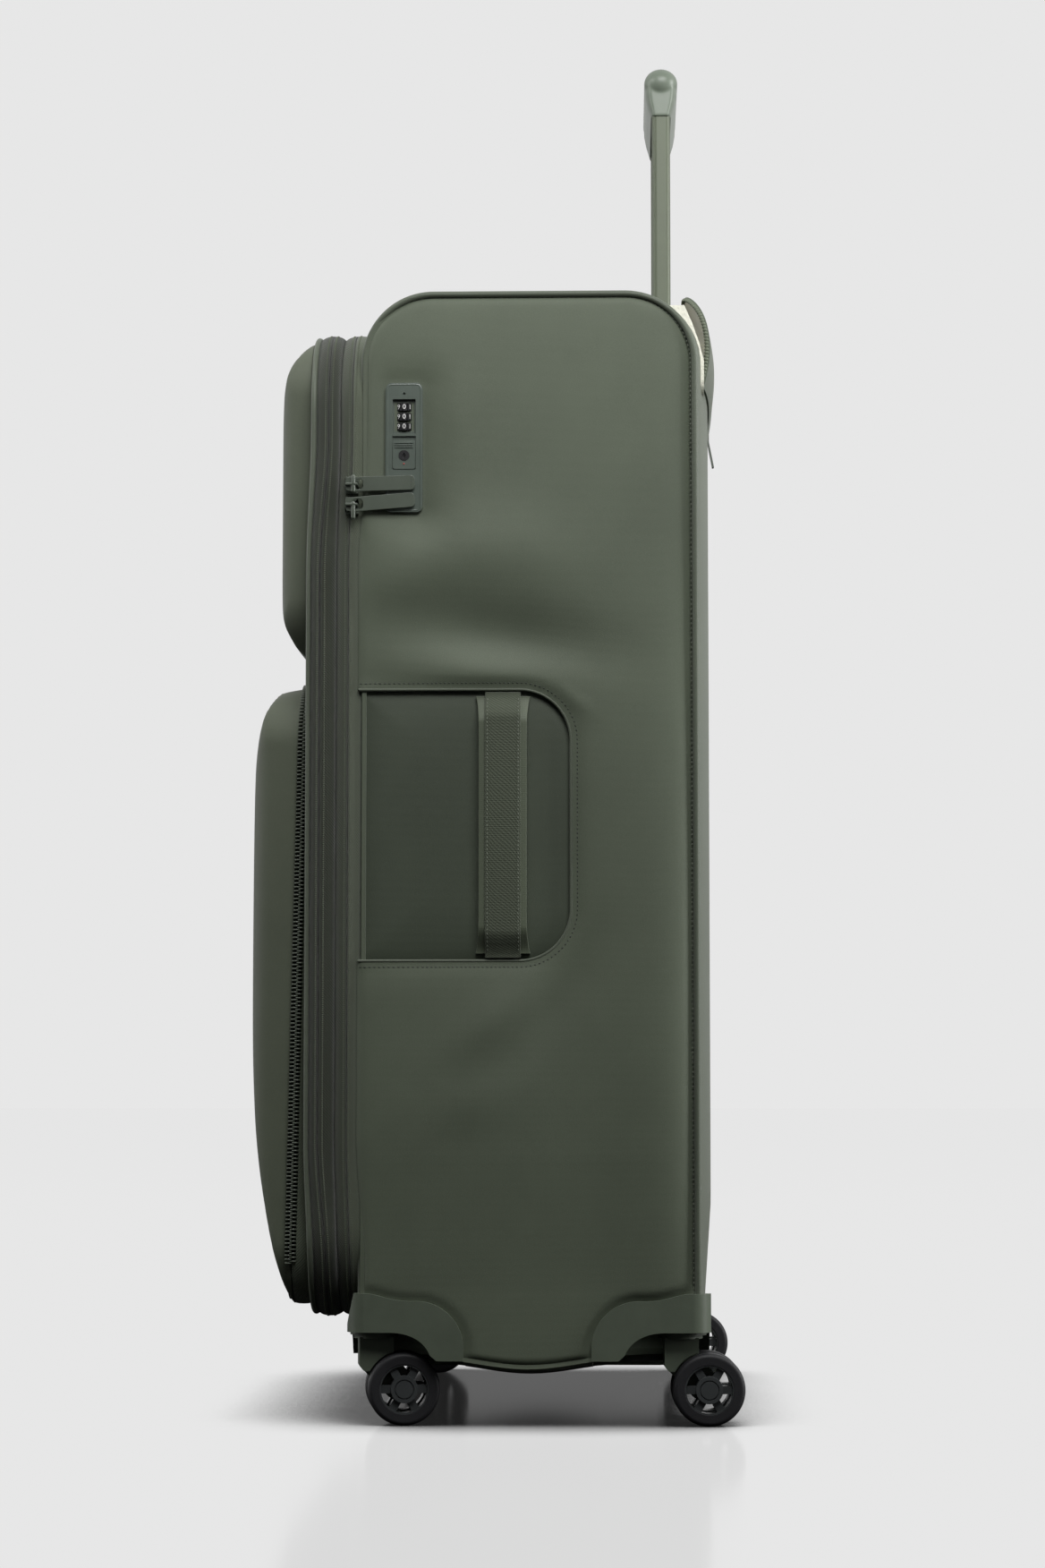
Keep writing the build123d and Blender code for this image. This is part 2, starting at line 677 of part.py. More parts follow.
def near_slider(zc):
    y0 = chain_main - 4.7
    y1 = chain_main + 4.7
    body = box(slot_x + clear, slot_x + clear + 3.2, y0, y1, zc - 6.2, zc + 6.2)
    body += box(lid_w / 2 + clear, slot_x + clear + 1, y0, y0 + 1.4, zc - 6.2, zc + 6.2)
    body += box(lid_w / 2 + clear, slot_x + clear + 1, y1 - 1.4, y1, zc - 6.2, zc + 6.2)
    x0 = slot_x + clear + 3.2
    top = tab_in + tab_t + 2.4
    body += box(x0 - 1, top, eye_y - 3.9, eye_y - 2.3, zc - 0.9, zc + 0.9)
    body += box(x0 - 1, top, eye_y + 3.4, eye_y + 5.0, zc - 0.9, zc + 0.9)
    body += box(top - 1.5, top, eye_y - 3.9, eye_y + 5.0, zc - 0.9, zc + 0.9)
    return body


def pull_tab(zc, tilt):
    length = 45.5
    face = rect(-1.2, length, -tab_w / 2, tab_w / 2, 3.0)
    face -= rect(1.2, 8.8, -3.6, 3.6, 2.4)
    tab = yz(face, tab_in, tab_in + tab_t)
    return Pos(0, eye_y, zc) * Rot(tilt, 0, 0) * tab


slider_up_z = 662.2
slider_low_z = 647.6
save(near_slider(slider_up_z), "main_slider_upper")
save(near_slider(slider_low_z), "main_slider_lower")
save(pull_tab(slider_up_z, 1.5), "main_pull_upper")
save(pull_tab(slider_low_z, 4.5), "main_pull_lower")


def plain_slider(length):
    """Slider along +X with its tab flat on +Z, chain under it at the origin."""
    body = box(-6, 6, -4.7, 4.7, clear, clear + 3.0)
    body += box(-6, 6, -4.7, -3.3, clear - bead, clear + 1)
    body += box(-6, 6, 3.3, 4.7, clear - bead, clear + 1)
    body += box(-2.0, 2.0, -1.2, 1.2, clear + 2.5, clear + 4.4)
    tab = xy(rect(-length - 1, 4.0, -4.0, 4.0, 2.5), clear + 3.6, clear + 5.0)
    return body + tab


exp_slider = Pos(-slot_x, chain_exp, 168.0) * Rot(0, -90, 0) * plain_slider(26.0)
save(exp_slider, "expander_slider")
pk_slider = Pos(-150.0, pk_base - clear / 2, pk_z1 + bead) * plain_slider(24.0)
save(pk_slider, "lower_pocket_slider")

# Lock: plate with case box, three dials on a pin, sliding button with a key barrel in it.
plate = yz(rect(lock_yc - lock_w / 2, lock_yc + lock_w / 2, lock_z0, lock_z1, 4.5), half_w, lock_face_x)
plate += lock_box
dial_r = 6.8
dial_t = 5.6
pitch = 7.05
dial_zc = 711.3
dial_x = lock_face_x - 0.6 - dial_r
win_z = pitch * 1.5 + 1.2
win_half = win_z + 0.6
plate -= box(
    lock_face_x - 2.8, lock_face_x + 5, lock_yc - 8.2, lock_yc + 8.2, dial_zc - win_half, dial_zc + win_half
)
plate -= box(dial_x - dial_r - clear, lock_face_x, lock_yc - dial_r - clear, lock_yc + dial_r + clear,
             dial_zc - pitch * 1.5 + 0.2, dial_zc + pitch * 1.5 - 0.2)
plate += cyl(1.5, pitch * 3 + 1, (dial_x, lock_yc, dial_zc))
plate -= cyl(0.9, 3.0, (lock_face_x, lock_yc, lock_z1 - pin_drop), "X")
btn_z = 683.6
btn_h = 20.4
btn_w = 16.0
slide_up = 3.0
plate -= box(lock_face_x - 1.5, lock_face_x + 5, lock_yc - btn_w / 2 - clear, lock_yc + btn_w / 2 + clear,
             btn_z - btn_h / 2 - clear, btn_z + btn_h / 2 + slide_up + clear)
plate -= box(lock_face_x - 8, lock_face_x, lock_yc - 3 - clear, lock_yc + 3 + clear,
             btn_z - 4 - clear, btn_z + 4 + slide_up + clear)
save(plate, "lock_plate")
for k, name in ((1, "lock_dial_top"), (0, "lock_dial_middle"), (-1, "lock_dial_bottom")):
    dial = cyl(dial_r, dial_t, (dial_x, lock_yc, dial_zc + k * pitch))
    dial -= cyl(1.5 + run_fit, dial_t + 2, (dial_x, lock_yc, dial_zc + k * pitch))
    for i in range(10):
        notch = Pos(dial_r, 0, 0) * Rot(0, 0, 45) * Box(0.9, 0.9, dial_t + 2)
        dial -= Pos(dial_x, lock_yc, dial_zc + k * pitch) * Rot(0, 0, 36 * i + 18) * notch
    save(dial, name)
btn_x0 = lock_face_x - 1.5 + clear
btn_x1 = lock_face_x + 0.5
btn_plate = rect(lock_yc - btn_w / 2, lock_yc + btn_w / 2, btn_z - btn_h / 2, btn_z + btn_h / 2, 1.5)
lock_button = yz(btn_plate, btn_x0, btn_x1)
lock_button += box(lock_face_x - 7, btn_x0, lock_yc - 3, lock_yc + 3, btn_z - 4, btn_z + 4)
for i in range(3):
    zr = btn_z + btn_h / 2 - 1.6 - 1.6 * i
    lock_button += box(btn_x1 - 0.5, rib_out, lock_yc - 6.5, lock_yc + 6.5, zr - 0.4, zr + 0.4)
key_r = 3.85
key_z = btn_z - 0.6
lock_button -= cyl(key_r + run_fit, 2 * (btn_x1 - btn_x0), (btn_x1, lock_yc, key_z), "X")
save(lock_button, "lock_button")
key_x0 = btn_x0
key_x1 = btn_x1 + 0.2
barrel = cyl(key_r, key_x1 - key_x0, ((key_x0 + key_x1) / 2, lock_yc, key_z), "X")
barrel -= box(key_x1 - 1.4, key_x1 + 1, lock_yc - 0.5, lock_yc + 0.5, key_z - 2.0, key_z + 2.0)
barrel -= cyl(1.1, 2.6, (key_x1, lock_yc, key_z), "X")
save(barrel, "lock_key_barrel")

# Casters, built round the swivel axis with the wheel trailing towards +Y, then turned and placed.
disc_in = 7.2
disc_w = 13.0
rim_r = 17.2
rim_t = 1.0
spoke_half = 2.8
axle_r = 3.0
fork_half = 6.6


def caster():
    fork = cyl(18.0, 2.2, (0, 0, roof_low - clear - 1.1))
    fork += cyl(15.3, 2.4, (0, 0, roof_low - clear - 3.4))
    neck_pts = [(-12.0, 41.0), (-9.0, 37.5), (4.0, 37.5), (12.0, 44.0), (12.0, 61.0), (-12.0, 61.0)]
    fork += yz(outline(neck_pts, [2, 2, 3, 3, 0, 0]), -12.0, 12.0)
    leg_pts = [
        (-10.0, 52.0),
        (-10.0, 39.0),
        (trail - 9, 18.0),
        (trail + 8, 18.0),
        (trail + 9, 30.0),
        (10.0, 52.0),
    ]
    leg = outline(leg_pts, [0, 3, 7, 7, 7, 0])
    fork += yz(leg, -fork_half, fork_half)
    gone = cyl(wheel_r + 1.2, 40, (fork_half + 20, trail, wheel_r), "X")
    gone += cyl(wheel_r + 1.2, 40, (-fork_half - 20, trail, wheel_r), "X")
    fork -= gone
    fork += cyl(pin_r, pin_top - 62.0, (0, 0, (pin_top + 62.0) / 2))
    fork -= cyl(axle_r, 60, (0, trail, wheel_r), "X")
    axle = cyl(axle_r, 2 * (disc_in + disc_w - 4.0), (0, trail, wheel_r), "X")
    hubs = []
    tyres = []
    for s in (-1, 1):
        x0 = disc_in
        x1 = disc_in + disc_w
        mid = (x0 + x1) / 2
        body = cyl(rim_r, disc_w - 1.0, (mid, 0, 0), "X") - cyl(rim_r - rim_t, disc_w, (mid, 0, 0), "X")
        body += cyl(9.6, disc_w - 1.6, (mid, 0, 0), "X")
        for i in range(6):
            spoke = box(x0 + 1.2, x1 - 2.4, 8.8, rim_r - rim_t / 2, -spoke_half, spoke_half)
            body += Rot(60 * i, 0, 0) * spoke
        body += cyl(9.4, 1.6, (x1 - 0.2, 0, 0), "X")
        groove = cyl(6.9, 2.0, (x1 + 0.6, 0, 0), "X") - cyl(6.1, 2.0, (x1 + 0.6, 0, 0), "X")
        body -= groove
        body -= cyl(axle_r + run_fit, disc_w - 3.5, (x0 + (disc_w - 3.5) / 2 - 0.1, 0, 0), "X")
        tyre = cyl(wheel_r, disc_w, ((x0 + x1) / 2, 0, 0), "X")
        tyre = fillet(tyre.edges().filter_by(GeomType.CIRCLE), 3.2)
        tyre -= cyl(rim_r, disc_w + 2, ((x0 + x1) / 2, 0, 0), "X")
        place = Pos(0, trail, wheel_r)
        if s < 0:
            body = body.mirror(Plane.YZ)
            tyre = tyre.mirror(Plane.YZ)
        hubs.append(solid_of(place * body))
        tyres.append(solid_of(place * tyre))
    return solid_of(fork), solid_of(axle), Compound(children=hubs), Compound(children=tyres)


fork, axle, hub_pair, tyre_pair = caster()
corners = [
    ("front_near", 1, caster_front, turn_front_near),
    ("rear_near", 1, caster_rear, turn_rear_near),
    ("front_far", -1, caster_front, turn_front_far),
    ("rear_far", -1, caster_rear, turn_rear_far),
]
for tag, sx, y_from, turn in corners:
    place = Pos(sx * caster_x, M + y_from, 0) * Rot(0, 0, turn)
    export_step(place * fork, "parts/caster_fork_" + tag + ".step")
    export_step(place * axle, "parts/caster_axle_" + tag + ".step")
    export_step(place * hub_pair, "parts/wheel_hubs_" + tag + ".step")
    export_step(place * tyre_pair, "parts/wheel_tyres_" + tag + ".step")
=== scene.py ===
# %% [markdown]
# # A soft-sided suitcase, dressed around its measured frame
# The frame holds every piece at its real size and place, in metres, with +X towards the lock side, -Y
# towards the pockets and +Z up. Cloth pieces are modelled again here as cloth, hard pieces get eased
# edges, and every surface gets a finish made from nodes.

# %% Load the frame
import json
import math

import bmesh
import bpy
import numpy as np
from mathutils.bvhtree import BVHTree
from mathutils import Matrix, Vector


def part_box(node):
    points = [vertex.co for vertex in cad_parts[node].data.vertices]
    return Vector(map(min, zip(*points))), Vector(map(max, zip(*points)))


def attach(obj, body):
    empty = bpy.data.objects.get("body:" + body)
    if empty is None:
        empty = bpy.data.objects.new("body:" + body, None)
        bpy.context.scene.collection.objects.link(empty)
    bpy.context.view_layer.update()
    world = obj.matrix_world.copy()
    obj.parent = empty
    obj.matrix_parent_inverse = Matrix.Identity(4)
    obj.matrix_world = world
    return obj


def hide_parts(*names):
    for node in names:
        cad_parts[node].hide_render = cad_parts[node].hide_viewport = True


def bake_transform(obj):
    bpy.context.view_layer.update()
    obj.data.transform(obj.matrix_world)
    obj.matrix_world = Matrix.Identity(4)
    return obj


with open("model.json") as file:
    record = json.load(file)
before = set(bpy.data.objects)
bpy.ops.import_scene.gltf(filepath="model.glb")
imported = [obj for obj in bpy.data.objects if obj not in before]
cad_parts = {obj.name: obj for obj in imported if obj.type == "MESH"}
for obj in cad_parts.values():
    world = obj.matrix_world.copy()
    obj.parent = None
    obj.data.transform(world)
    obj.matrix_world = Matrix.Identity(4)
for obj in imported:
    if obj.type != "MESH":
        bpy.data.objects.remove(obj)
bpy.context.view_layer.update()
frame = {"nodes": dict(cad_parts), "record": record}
nodes = frame["nodes"]
MM = 0.001

# %% [markdown]
# The case hangs together from a few planes: the mouth, where the lid's zip tape meets the case, the back,
# and the lines of the two zip chains. They are read from the frame once, so that each cloth piece below
# is drawn to the same lines as the hard ones.

# %% The planes that everything is drawn to
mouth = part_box("case_shell")[0].y
back = mouth + 236.5 * MM
half_w = 250 * MM
seam_low = 46 * MM
seam_top = 800 * MM
crown = 12 * MM
top_r = 50 * MM
base_r = 30 * MM
lid_half = 246 * MM
bead = 0.9 * MM
band_low, band_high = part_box("lid_band")
lid_low = band_low.z + bead
lid_top = band_high.z - bead
lid_r = 60 * MM
chain_main = mouth - 7.6 * MM
chain_exp = mouth - 24.5 * MM
front_y = mouth - 38 * MM
split = mouth - 16.3 * MM
panel_low, panel_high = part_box("handle_panel")
print("mouth plane", round(mouth, 4), "back seam", round(back, 4))

# %% [markdown]
# Most cloth pieces here begin as Blender's plain grid. A short function then places each grid point,
# edges that meet are merged, and the outside is made to face outwards. The grid's own UV map is stretched
# to metres, so that a weave has one scale on every piece.


# %% Modelling helpers
def only(obj):
    bpy.ops.object.select_all(action="DESELECT")
    obj.select_set(True)
    bpy.context.view_layer.objects.active = obj


def coords(obj):
    co = np.empty(len(obj.data.vertices) * 3)
    obj.data.vertices.foreach_get("co", co)
    return co.reshape(-1, 3)


def shape(obj, move):
    obj.data.vertices.foreach_set("co", np.asarray(move(coords(obj)), float).ravel())
    obj.data.update()
    return obj


def shifted(obj, axis, by):
    """Moves every point along one axis (0, 1 or 2) by what by(x, y, z) says."""

    def move(co):
        co[:, axis] += by(*co.T)
        return co

    return shape(obj, move)


def in_edit(obj, *steps):
    only(obj)
    bpy.ops.object.mode_set(mode="EDIT")
    bpy.ops.mesh.select_all(action="SELECT")
    for step in steps:
        step()
    bpy.ops.object.mode_set(mode="OBJECT")
    return obj


def merge(obj, reach=1e-6):
    return in_edit(
        obj,
        lambda: bpy.ops.mesh.remove_doubles(threshold=reach),
        lambda: bpy.ops.mesh.normals_make_consistent(inside=False),
    )


def metric_uv(obj, along, across):
    layer = obj.data.uv_layers.active.data
    uv = np.empty(len(layer) * 2)
    layer.foreach_get("uv", uv)
    layer.foreach_set("uv", (uv.reshape(-1, 2) * (along, across)).ravel())


def cloth_grid(name, across, up, place, size=(1.0, 1.0)):
    """A grid of quads whose points go where place(u, v) says, u and v from 0 to 1."""
    bpy.ops.object.select_all(action="DESELECT")
    bpy.ops.mesh.primitive_grid_add(x_subdivisions=across, y_subdivisions=up, size=1)
    obj = bpy.context.object
    obj.name = obj.data.name = name
    metric_uv(obj, *size)
    shape(obj, lambda co: np.column_stack(place(co[:, 0] + 0.5, co[:, 1] + 0.5)))
    return merge(obj)


def face_towards(obj, axis, sign, middle=True):
    """Turns a sheet over if one of its faces, the middle or the first, looks the wrong way."""
    faces = obj.data.polygons
    if faces[len(faces) // 2 if middle else 0].normal[axis] * sign < 0:
        in_edit(obj, bpy.ops.mesh.flip_normals)
    return obj


def apply_all(obj):
    only(obj)
    for modifier in list(obj.modifiers):
        bpy.ops.object.modifier_apply(modifier=modifier.name)
    return obj


def thicken(obj, wall, side=-1.0):
    solid = obj.modifiers.new("wall", "SOLIDIFY")
    solid.thickness = wall
    solid.offset = side
    solid.use_even_offset = True
    return apply_all(obj)


def smooth(obj, angle=None):
    only(obj)
    if angle is None:
        bpy.ops.object.shade_smooth()
    else:
        bpy.ops.object.shade_smooth_by_angle(angle=math.radians(angle))
    return obj


def box_cutter(low, high):
    bpy.ops.object.select_all(action="DESELECT")
    bpy.ops.mesh.primitive_cube_add(size=1)
    obj = bpy.context.object
    low, high = np.array(low, float), np.array(high, float)
    return shape(obj, lambda co: (low + high) / 2 + co * (high - low))


def cut_away(obj, *cutters):
    for cutter in cutters:
        cut = obj.modifiers.new("cut", "BOOLEAN")
        cut.operation = "DIFFERENCE"
        cut.solver = "EXACT"
        cut.object = cutter
        apply_all(obj)
        bpy.data.objects.remove(cutter)
    return obj


# %% [markdown]
# Seams, piping and zips all run along outlines with rounded corners. An outline is kept as a track: a
# closed run of straight stretches and arcs, from which points and outward directions are read by their
# share of its length.


# %% Tracks along rounded outlines
class Track:
    """A rounded rectangle walked once round; radii start at the low left corner and go anticlockwise."""

    def __init__(self, a0, a1, b0, b1, radii):
        corners = [(a0, b0, 180), (a1, b0, 270), (a1, b1, 0), (a0, b1, 90)]
        points = []
        for (a, b, start), r in zip(corners, radii):
            ca = a + r if a == a0 else a - r
            cb = b + r if b == b0 else b - r
            for turn in np.radians(np.linspace(start, start + 90, 33)):
                points.append((ca + r * math.cos(turn), cb + r * math.sin(turn)))
        points.append(points[0])
        self.points = np.array(points)
        steps = np.hypot(*np.diff(self.points, axis=0).T)
        self.length = steps.sum()
        self.share = np.concatenate([[0], np.cumsum(steps)]) / self.length

    def at(self, u):
        u = np.asarray(u) % 1.0
        return np.interp(u, self.share, self.points[:, 0]), np.interp(u, self.share, self.points[:, 1])

    def out(self, u, reach=0.0008):
        a1, b1 = self.at(np.asarray(u) + reach)
        a0, b0 = self.at(np.asarray(u) - reach)
        run = np.hypot(a1 - a0, b1 - b0)
        return (b1 - b0) / run, -(a1 - a0) / run


def rounded(u, v, a0, a1, b0, b1, radii):
    """Grid points spread over a rounded rectangle, u and v from 0 to 1; the corner squares become arcs."""
    a, b = a0 + (a1 - a0) * u, b0 + (b1 - b0) * v
    left, low = u < 0.5, v < 0.5
    r = np.select([left & low, ~left & low, ~left & ~low], radii[:3], radii[3])
    ca = np.where(left, a0 + r, a1 - r)
    cb = np.where(low, b0 + r, b1 - r)
    s = np.clip(np.where(left, ca - a, a - ca) / r, 0, 1)
    t = np.clip(np.where(low, cb - b, b - cb) / r, 0, 1)
    in_corner = (s > 0) & (t > 0)
    sa = np.where(left, -1, 1) * r * s * np.sqrt(1 - t * t / 2)
    tb = np.where(low, -1, 1) * r * t * np.sqrt(1 - s * s / 2)
    return np.where(in_corner, ca + sa, a), np.where(in_corner, cb + tb, b)


def edge_crowded(t, power=1.8):
    """0 to 1 again, with grid lines drawn together towards both ends."""
    side = np.abs(2 * t - 1)
    return 0.5 + 0.5 * np.sign(2 * t - 1) * (1 - (1 - side) ** power)


seam_radii = [base_r, base_r, top_r, top_r]
case_track = Track(mouth, back, seam_low, seam_top, seam_radii)
lid_track = Track(-lid_half, lid_half, lid_low, lid_top, [lid_r] * 4)
print("side seam", round(case_track.length, 3), "m, lid zip", round(lid_track.length, 3), "m")

# %% [markdown]
# The photograph was taken from the lock side with a long lens, a little above the floor and tilted up by
# a few degrees, so the case is seen almost square on. The camera gets the same height, tilt and lens, in
# pixels of the photograph.

# %% Camera
eye = Vector((2.750, mouth + 0.1864, 0.2391))
tilt_up = math.radians(4.789)
turn_front = math.radians(1.666)
gaze = Vector((
    -math.cos(tilt_up) * math.cos(turn_front),
    -math.cos(tilt_up) * math.sin(turn_front),
    math.sin(tilt_up),
))
lens_px = 3975
photo_high = 1752
sensor = 36.0
camera_data = bpy.data.cameras.new("photo_camera")
camera_data.sensor_width = sensor
camera_data.lens = sensor * lens_px / photo_high
camera_data.clip_end = 50
camera = bpy.data.objects.new("photo_camera", camera_data)
camera.location = eye
camera.rotation_euler = gaze.to_track_quat("-Z", "Y").to_euler()
bpy.context.scene.collection.objects.link(camera)
bpy.context.scene.camera = camera
bpy.context.scene.view_settings.view_transform = "Standard"
print("lens", round(camera_data.lens, 1), "mm")

# %% [markdown]
# Soft studio light. A large softbox hangs high on the camera's side, so that the light falls off down the
# case, and a tall strip behind on the right draws the line on the back. A weak fill lights the front, and
# a small box its upper corner. Their level is plain: a colour renders about as it is written.


# %% Lights
def softbox(name, at, aim, wide, high, watts):
    data = bpy.data.lights.new(name, "AREA")
    data.shape = "RECTANGLE"
    data.size = wide
    data.size_y = high
    data.energy = watts
    lamp = bpy.data.objects.new(name, data)
    lamp.location = at
    lamp.rotation_euler = (Vector(aim) - Vector(at)).to_track_quat("-Z", "Y").to_euler()
    bpy.context.scene.collection.objects.link(lamp)
    return lamp


lamps = (
    softbox("overhead_softbox", (1.15, 0.25, 1.50), (0.22, 0.04, 0.5), 0.9, 0.7, 17),
    softbox("back_strip", (0.42, 1.75, 0.92), (0.2, 0.1, 0.5), 0.5, 1.5, 29),
    softbox("front_fill", (0.20, -2.0, 0.95), (0.0, -0.1, 0.45), 0.9, 1.4, 13),
    softbox("corner_box", (0.44, -0.50, 1.30), (0.22, -0.12, 0.76), 0.35, 0.25, 1.8),
)

# %% [markdown]
# The room is one pale grey to the camera and dimmer as a light. What lies behind the case stays bright in
# reflections too, as a lit backdrop does, so edges that turn away from the camera gleam. The floor glows
# with the backdrop's grey and mirrors the case faintly; its shadow is a painted shadow, a darkening of that
# glow by ambient occlusion where the case keeps the light out. The lamps leave the floor out, because it
# would mirror them as bright patches.

# %% Room and floor
backdrop_grey = 0.799
room_light = 0.10
world = bpy.data.worlds.new("pale_room")
bpy.context.scene.world = world
world.use_nodes = True
room = world.node_tree
room_shader = room.nodes["Background"]


def add(tree, kind, values=None, **settings):
    node = tree.nodes.new(kind)
    for key, value in settings.items():
        setattr(node, key, value)
    for key, value in (values or {}).items():
        node.inputs[key].default_value = value
    return node


def combine(tree, a, b, operation="ADD"):
    node = add(tree, "ShaderNodeMath", operation=operation)
    tree.links.new(a, node.inputs[0])
    if isinstance(b, (int, float)):
        node.inputs[1].default_value = b
    else:
        tree.links.new(b, node.inputs[1])
    return node.outputs[0]


def spread(tree, value, from_low, from_high, low, high):
    node = add(
        tree, "ShaderNodeMapRange", {"From Min": from_low, "From Max": from_high, "To Min": low, "To Max": high}
    )
    tree.links.new(value, node.inputs["Value"])
    return node.outputs["Result"]


seen = add(room, "ShaderNodeLightPath")
heading = add(room, "ShaderNodeSeparateXYZ")
room.links.new(add(room, "ShaderNodeTexCoord").outputs["Generated"], heading.inputs[0])
behind = spread(room, heading.outputs["X"], -0.15, 0.15, 1.0, 0.0)
gleam = combine(room, seen.outputs["Is Glossy Ray"], behind, "MULTIPLY")
plain = combine(room, seen.outputs["Is Camera Ray"], seen.outputs["Is Transmission Ray"], "MAXIMUM")
room.links.new(
    spread(room, combine(room, plain, gleam, "MAXIMUM"), 0.0, 1.0, room_light, 1.0), room_shader.inputs["Strength"]
)
room_shader.inputs["Color"].default_value = (backdrop_grey, backdrop_grey, backdrop_grey, 1)

bpy.ops.object.select_all(action="DESELECT")
bpy.ops.mesh.primitive_plane_add(size=60)
floor = bpy.context.object
floor.name = "pale_floor"
floor_mat = bpy.data.materials.new("pale_floor")
floor_mat.use_nodes = True
tree = floor_mat.node_tree
tree.nodes.clear()
# Painted shadow: the floor's glow is darkened by ambient occlusion under and round the case.
shade = add(tree, "ShaderNodeAmbientOcclusion", {"Distance": 0.13}, samples=12)
lit = spread(tree, shade.outputs["AO"], 0.42, 0.82, 0.02, 1.0)
tint = add(tree, "ShaderNodeEmission", {"Color": (backdrop_grey, backdrop_grey, backdrop_grey, 1)})
tree.links.new(lit, tint.inputs["Strength"])
mirror = add(tree, "ShaderNodeBsdfGlossy", {"Roughness": 0.13, "Color": (1, 1, 1, 1)})
polished = add(tree, "ShaderNodeMixShader", {"Fac": 0.13})
tree.links.new(tint.outputs[0], polished.inputs[1])
tree.links.new(mirror.outputs[0], polished.inputs[2])
matt = add(tree, "ShaderNodeBsdfDiffuse", {"Color": (0.18, 0.18, 0.18, 1)})
chosen = add(tree, "ShaderNodeMixShader")
tree.links.new(add(tree, "ShaderNodeLightPath").outputs["Is Camera Ray"], chosen.inputs["Fac"])
tree.links.new(matt.outputs[0], chosen.inputs[1])
tree.links.new(polished.outputs[0], chosen.inputs[2])
tree.links.new(chosen.outputs[0], add(tree, "ShaderNodeOutputMaterial").inputs["Surface"])
floor.data.materials.append(floor_mat)
unlit = bpy.data.collections.new("floor_without_lamps")
unlit.objects.link(floor)
unlit.collection_objects[0].light_linking.link_state = "EXCLUDE"
for lamp in lamps:
    lamp.light_linking.receiver_collection = unlit
print("stage ready")

# %% [markdown]
# Finishes. Every material starts as a Principled shader with its gloss and sheen set on the shader itself;
# its colour comes in through a node chain. Small node chains then add what the eye expects close up:
# cloud-like shade in dyed cloth, the knit of the shell fabric, the weave of tape and webbing, grain in
# moulded plastic.


# %% Material helpers
def material(name, rough, metal=0.0, sheen=0.0, coat=0.0, gloss=0.5):
    mat = bpy.data.materials.new(name)
    mat.use_nodes = True
    shader = mat.node_tree.nodes["Principled BSDF"]
    shader.inputs["Roughness"].default_value = rough
    shader.inputs["Metallic"].default_value = metal
    shader.inputs["Sheen Weight"].default_value = sheen
    shader.inputs["Sheen Roughness"].default_value = 0.45
    shader.inputs["Coat Weight"].default_value = coat
    shader.inputs["Coat Roughness"].default_value = 0.25
    shader.inputs["Specular IOR Level"].default_value = gloss
    return mat, mat.node_tree, shader


def place_of(tree, source="Object"):
    return add(tree, "ShaderNodeTexCoord").outputs[source]


def noise(tree, where, scale, detail=3.0, rough=0.5):
    node = add(tree, "ShaderNodeTexNoise", {"Scale": scale, "Detail": detail, "Roughness": rough})
    tree.links.new(where, node.inputs["Vector"])
    return node.outputs["Fac"]


def two_tone(tree, factor, dark, light, low=0.35, high=0.65):
    ramp = add(tree, "ShaderNodeValToRGB")
    ramp.color_ramp.elements[0].position = low
    ramp.color_ramp.elements[0].color = (*dark, 1)
    ramp.color_ramp.elements[1].position = high
    ramp.color_ramp.elements[1].color = (*light, 1)
    tree.links.new(factor, ramp.inputs["Fac"])
    return ramp.outputs["Color"]


def threads(tree, where, pitch, direction):
    """Soft ridges at a pitch in metres; a wave repeats every tenth of pi at scale 1."""
    node = add(
        tree, "ShaderNodeTexWave", {"Scale": math.pi / 10 / pitch}, wave_type="BANDS", bands_direction=direction
    )
    tree.links.new(where, node.inputs["Vector"])
    return node.outputs["Fac"]


def raise_by(tree, shader, height, depth, strength=1.0):
    bump = add(tree, "ShaderNodeBump", {"Strength": strength, "Distance": depth})
    tree.links.new(height, bump.inputs["Height"])
    tree.links.new(bump.outputs["Normal"], shader.inputs["Normal"])


def tones(colour, tone):
    return tuple(c * (1 - tone) for c in colour), tuple(c * (1 + tone) for c in colour)


# %% [markdown]
# The cloths are three: a smooth knit for the panels, a brushed fleece for the lining and woven tape for
# zips and straps. Each could be a picture of cloth, but nodes stay sharp at any distance and need no file.


# %% Shell cloth, piping and lining
def knit_cloth(name, colour, rough=0.58, sheen=0.15, tone=0.12, knit=0.5 * MM, depth=0.06 * MM):
    """Smooth double-knit cloth: soft clouds of shade, fine knit and a little sheen."""
    mat, tree, shader = material(name, rough, sheen=sheen, gloss=0.35)
    where = place_of(tree)
    cloud = noise(tree, where, 7.0, 4.0, 0.6)
    speck = noise(tree, where, 1500.0, 2.0)
    mixed = combine(tree, combine(tree, cloud, 0.6, "MULTIPLY"), combine(tree, speck, 0.4, "MULTIPLY"))
    tree.links.new(two_tone(tree, mixed, *tones(colour, tone)), shader.inputs["Base Color"])
    ribs = combine(tree, threads(tree, where, knit, "Y"), threads(tree, where, knit * 1.4, "Z"), "MULTIPLY")
    raise_by(tree, shader, combine(tree, ribs, speck), depth)
    return mat


def fleece(name, colour):
    """Brushed lining: pale, matt and tufted."""
    mat, tree, shader = material(name, 0.9, sheen=0.5, gloss=0.2)
    where = place_of(tree)
    tuft = noise(tree, where, 420.0, 4.0, 0.65)
    fold = noise(tree, where, 30.0, 3.0)
    mixed = combine(tree, combine(tree, tuft, 0.5, "MULTIPLY"), combine(tree, fold, 0.5, "MULTIPLY"))
    tree.links.new(two_tone(tree, mixed, *tones(colour, 0.10)), shader.inputs["Base Color"])
    raise_by(tree, shader, tuft, 0.9 * MM)
    return mat


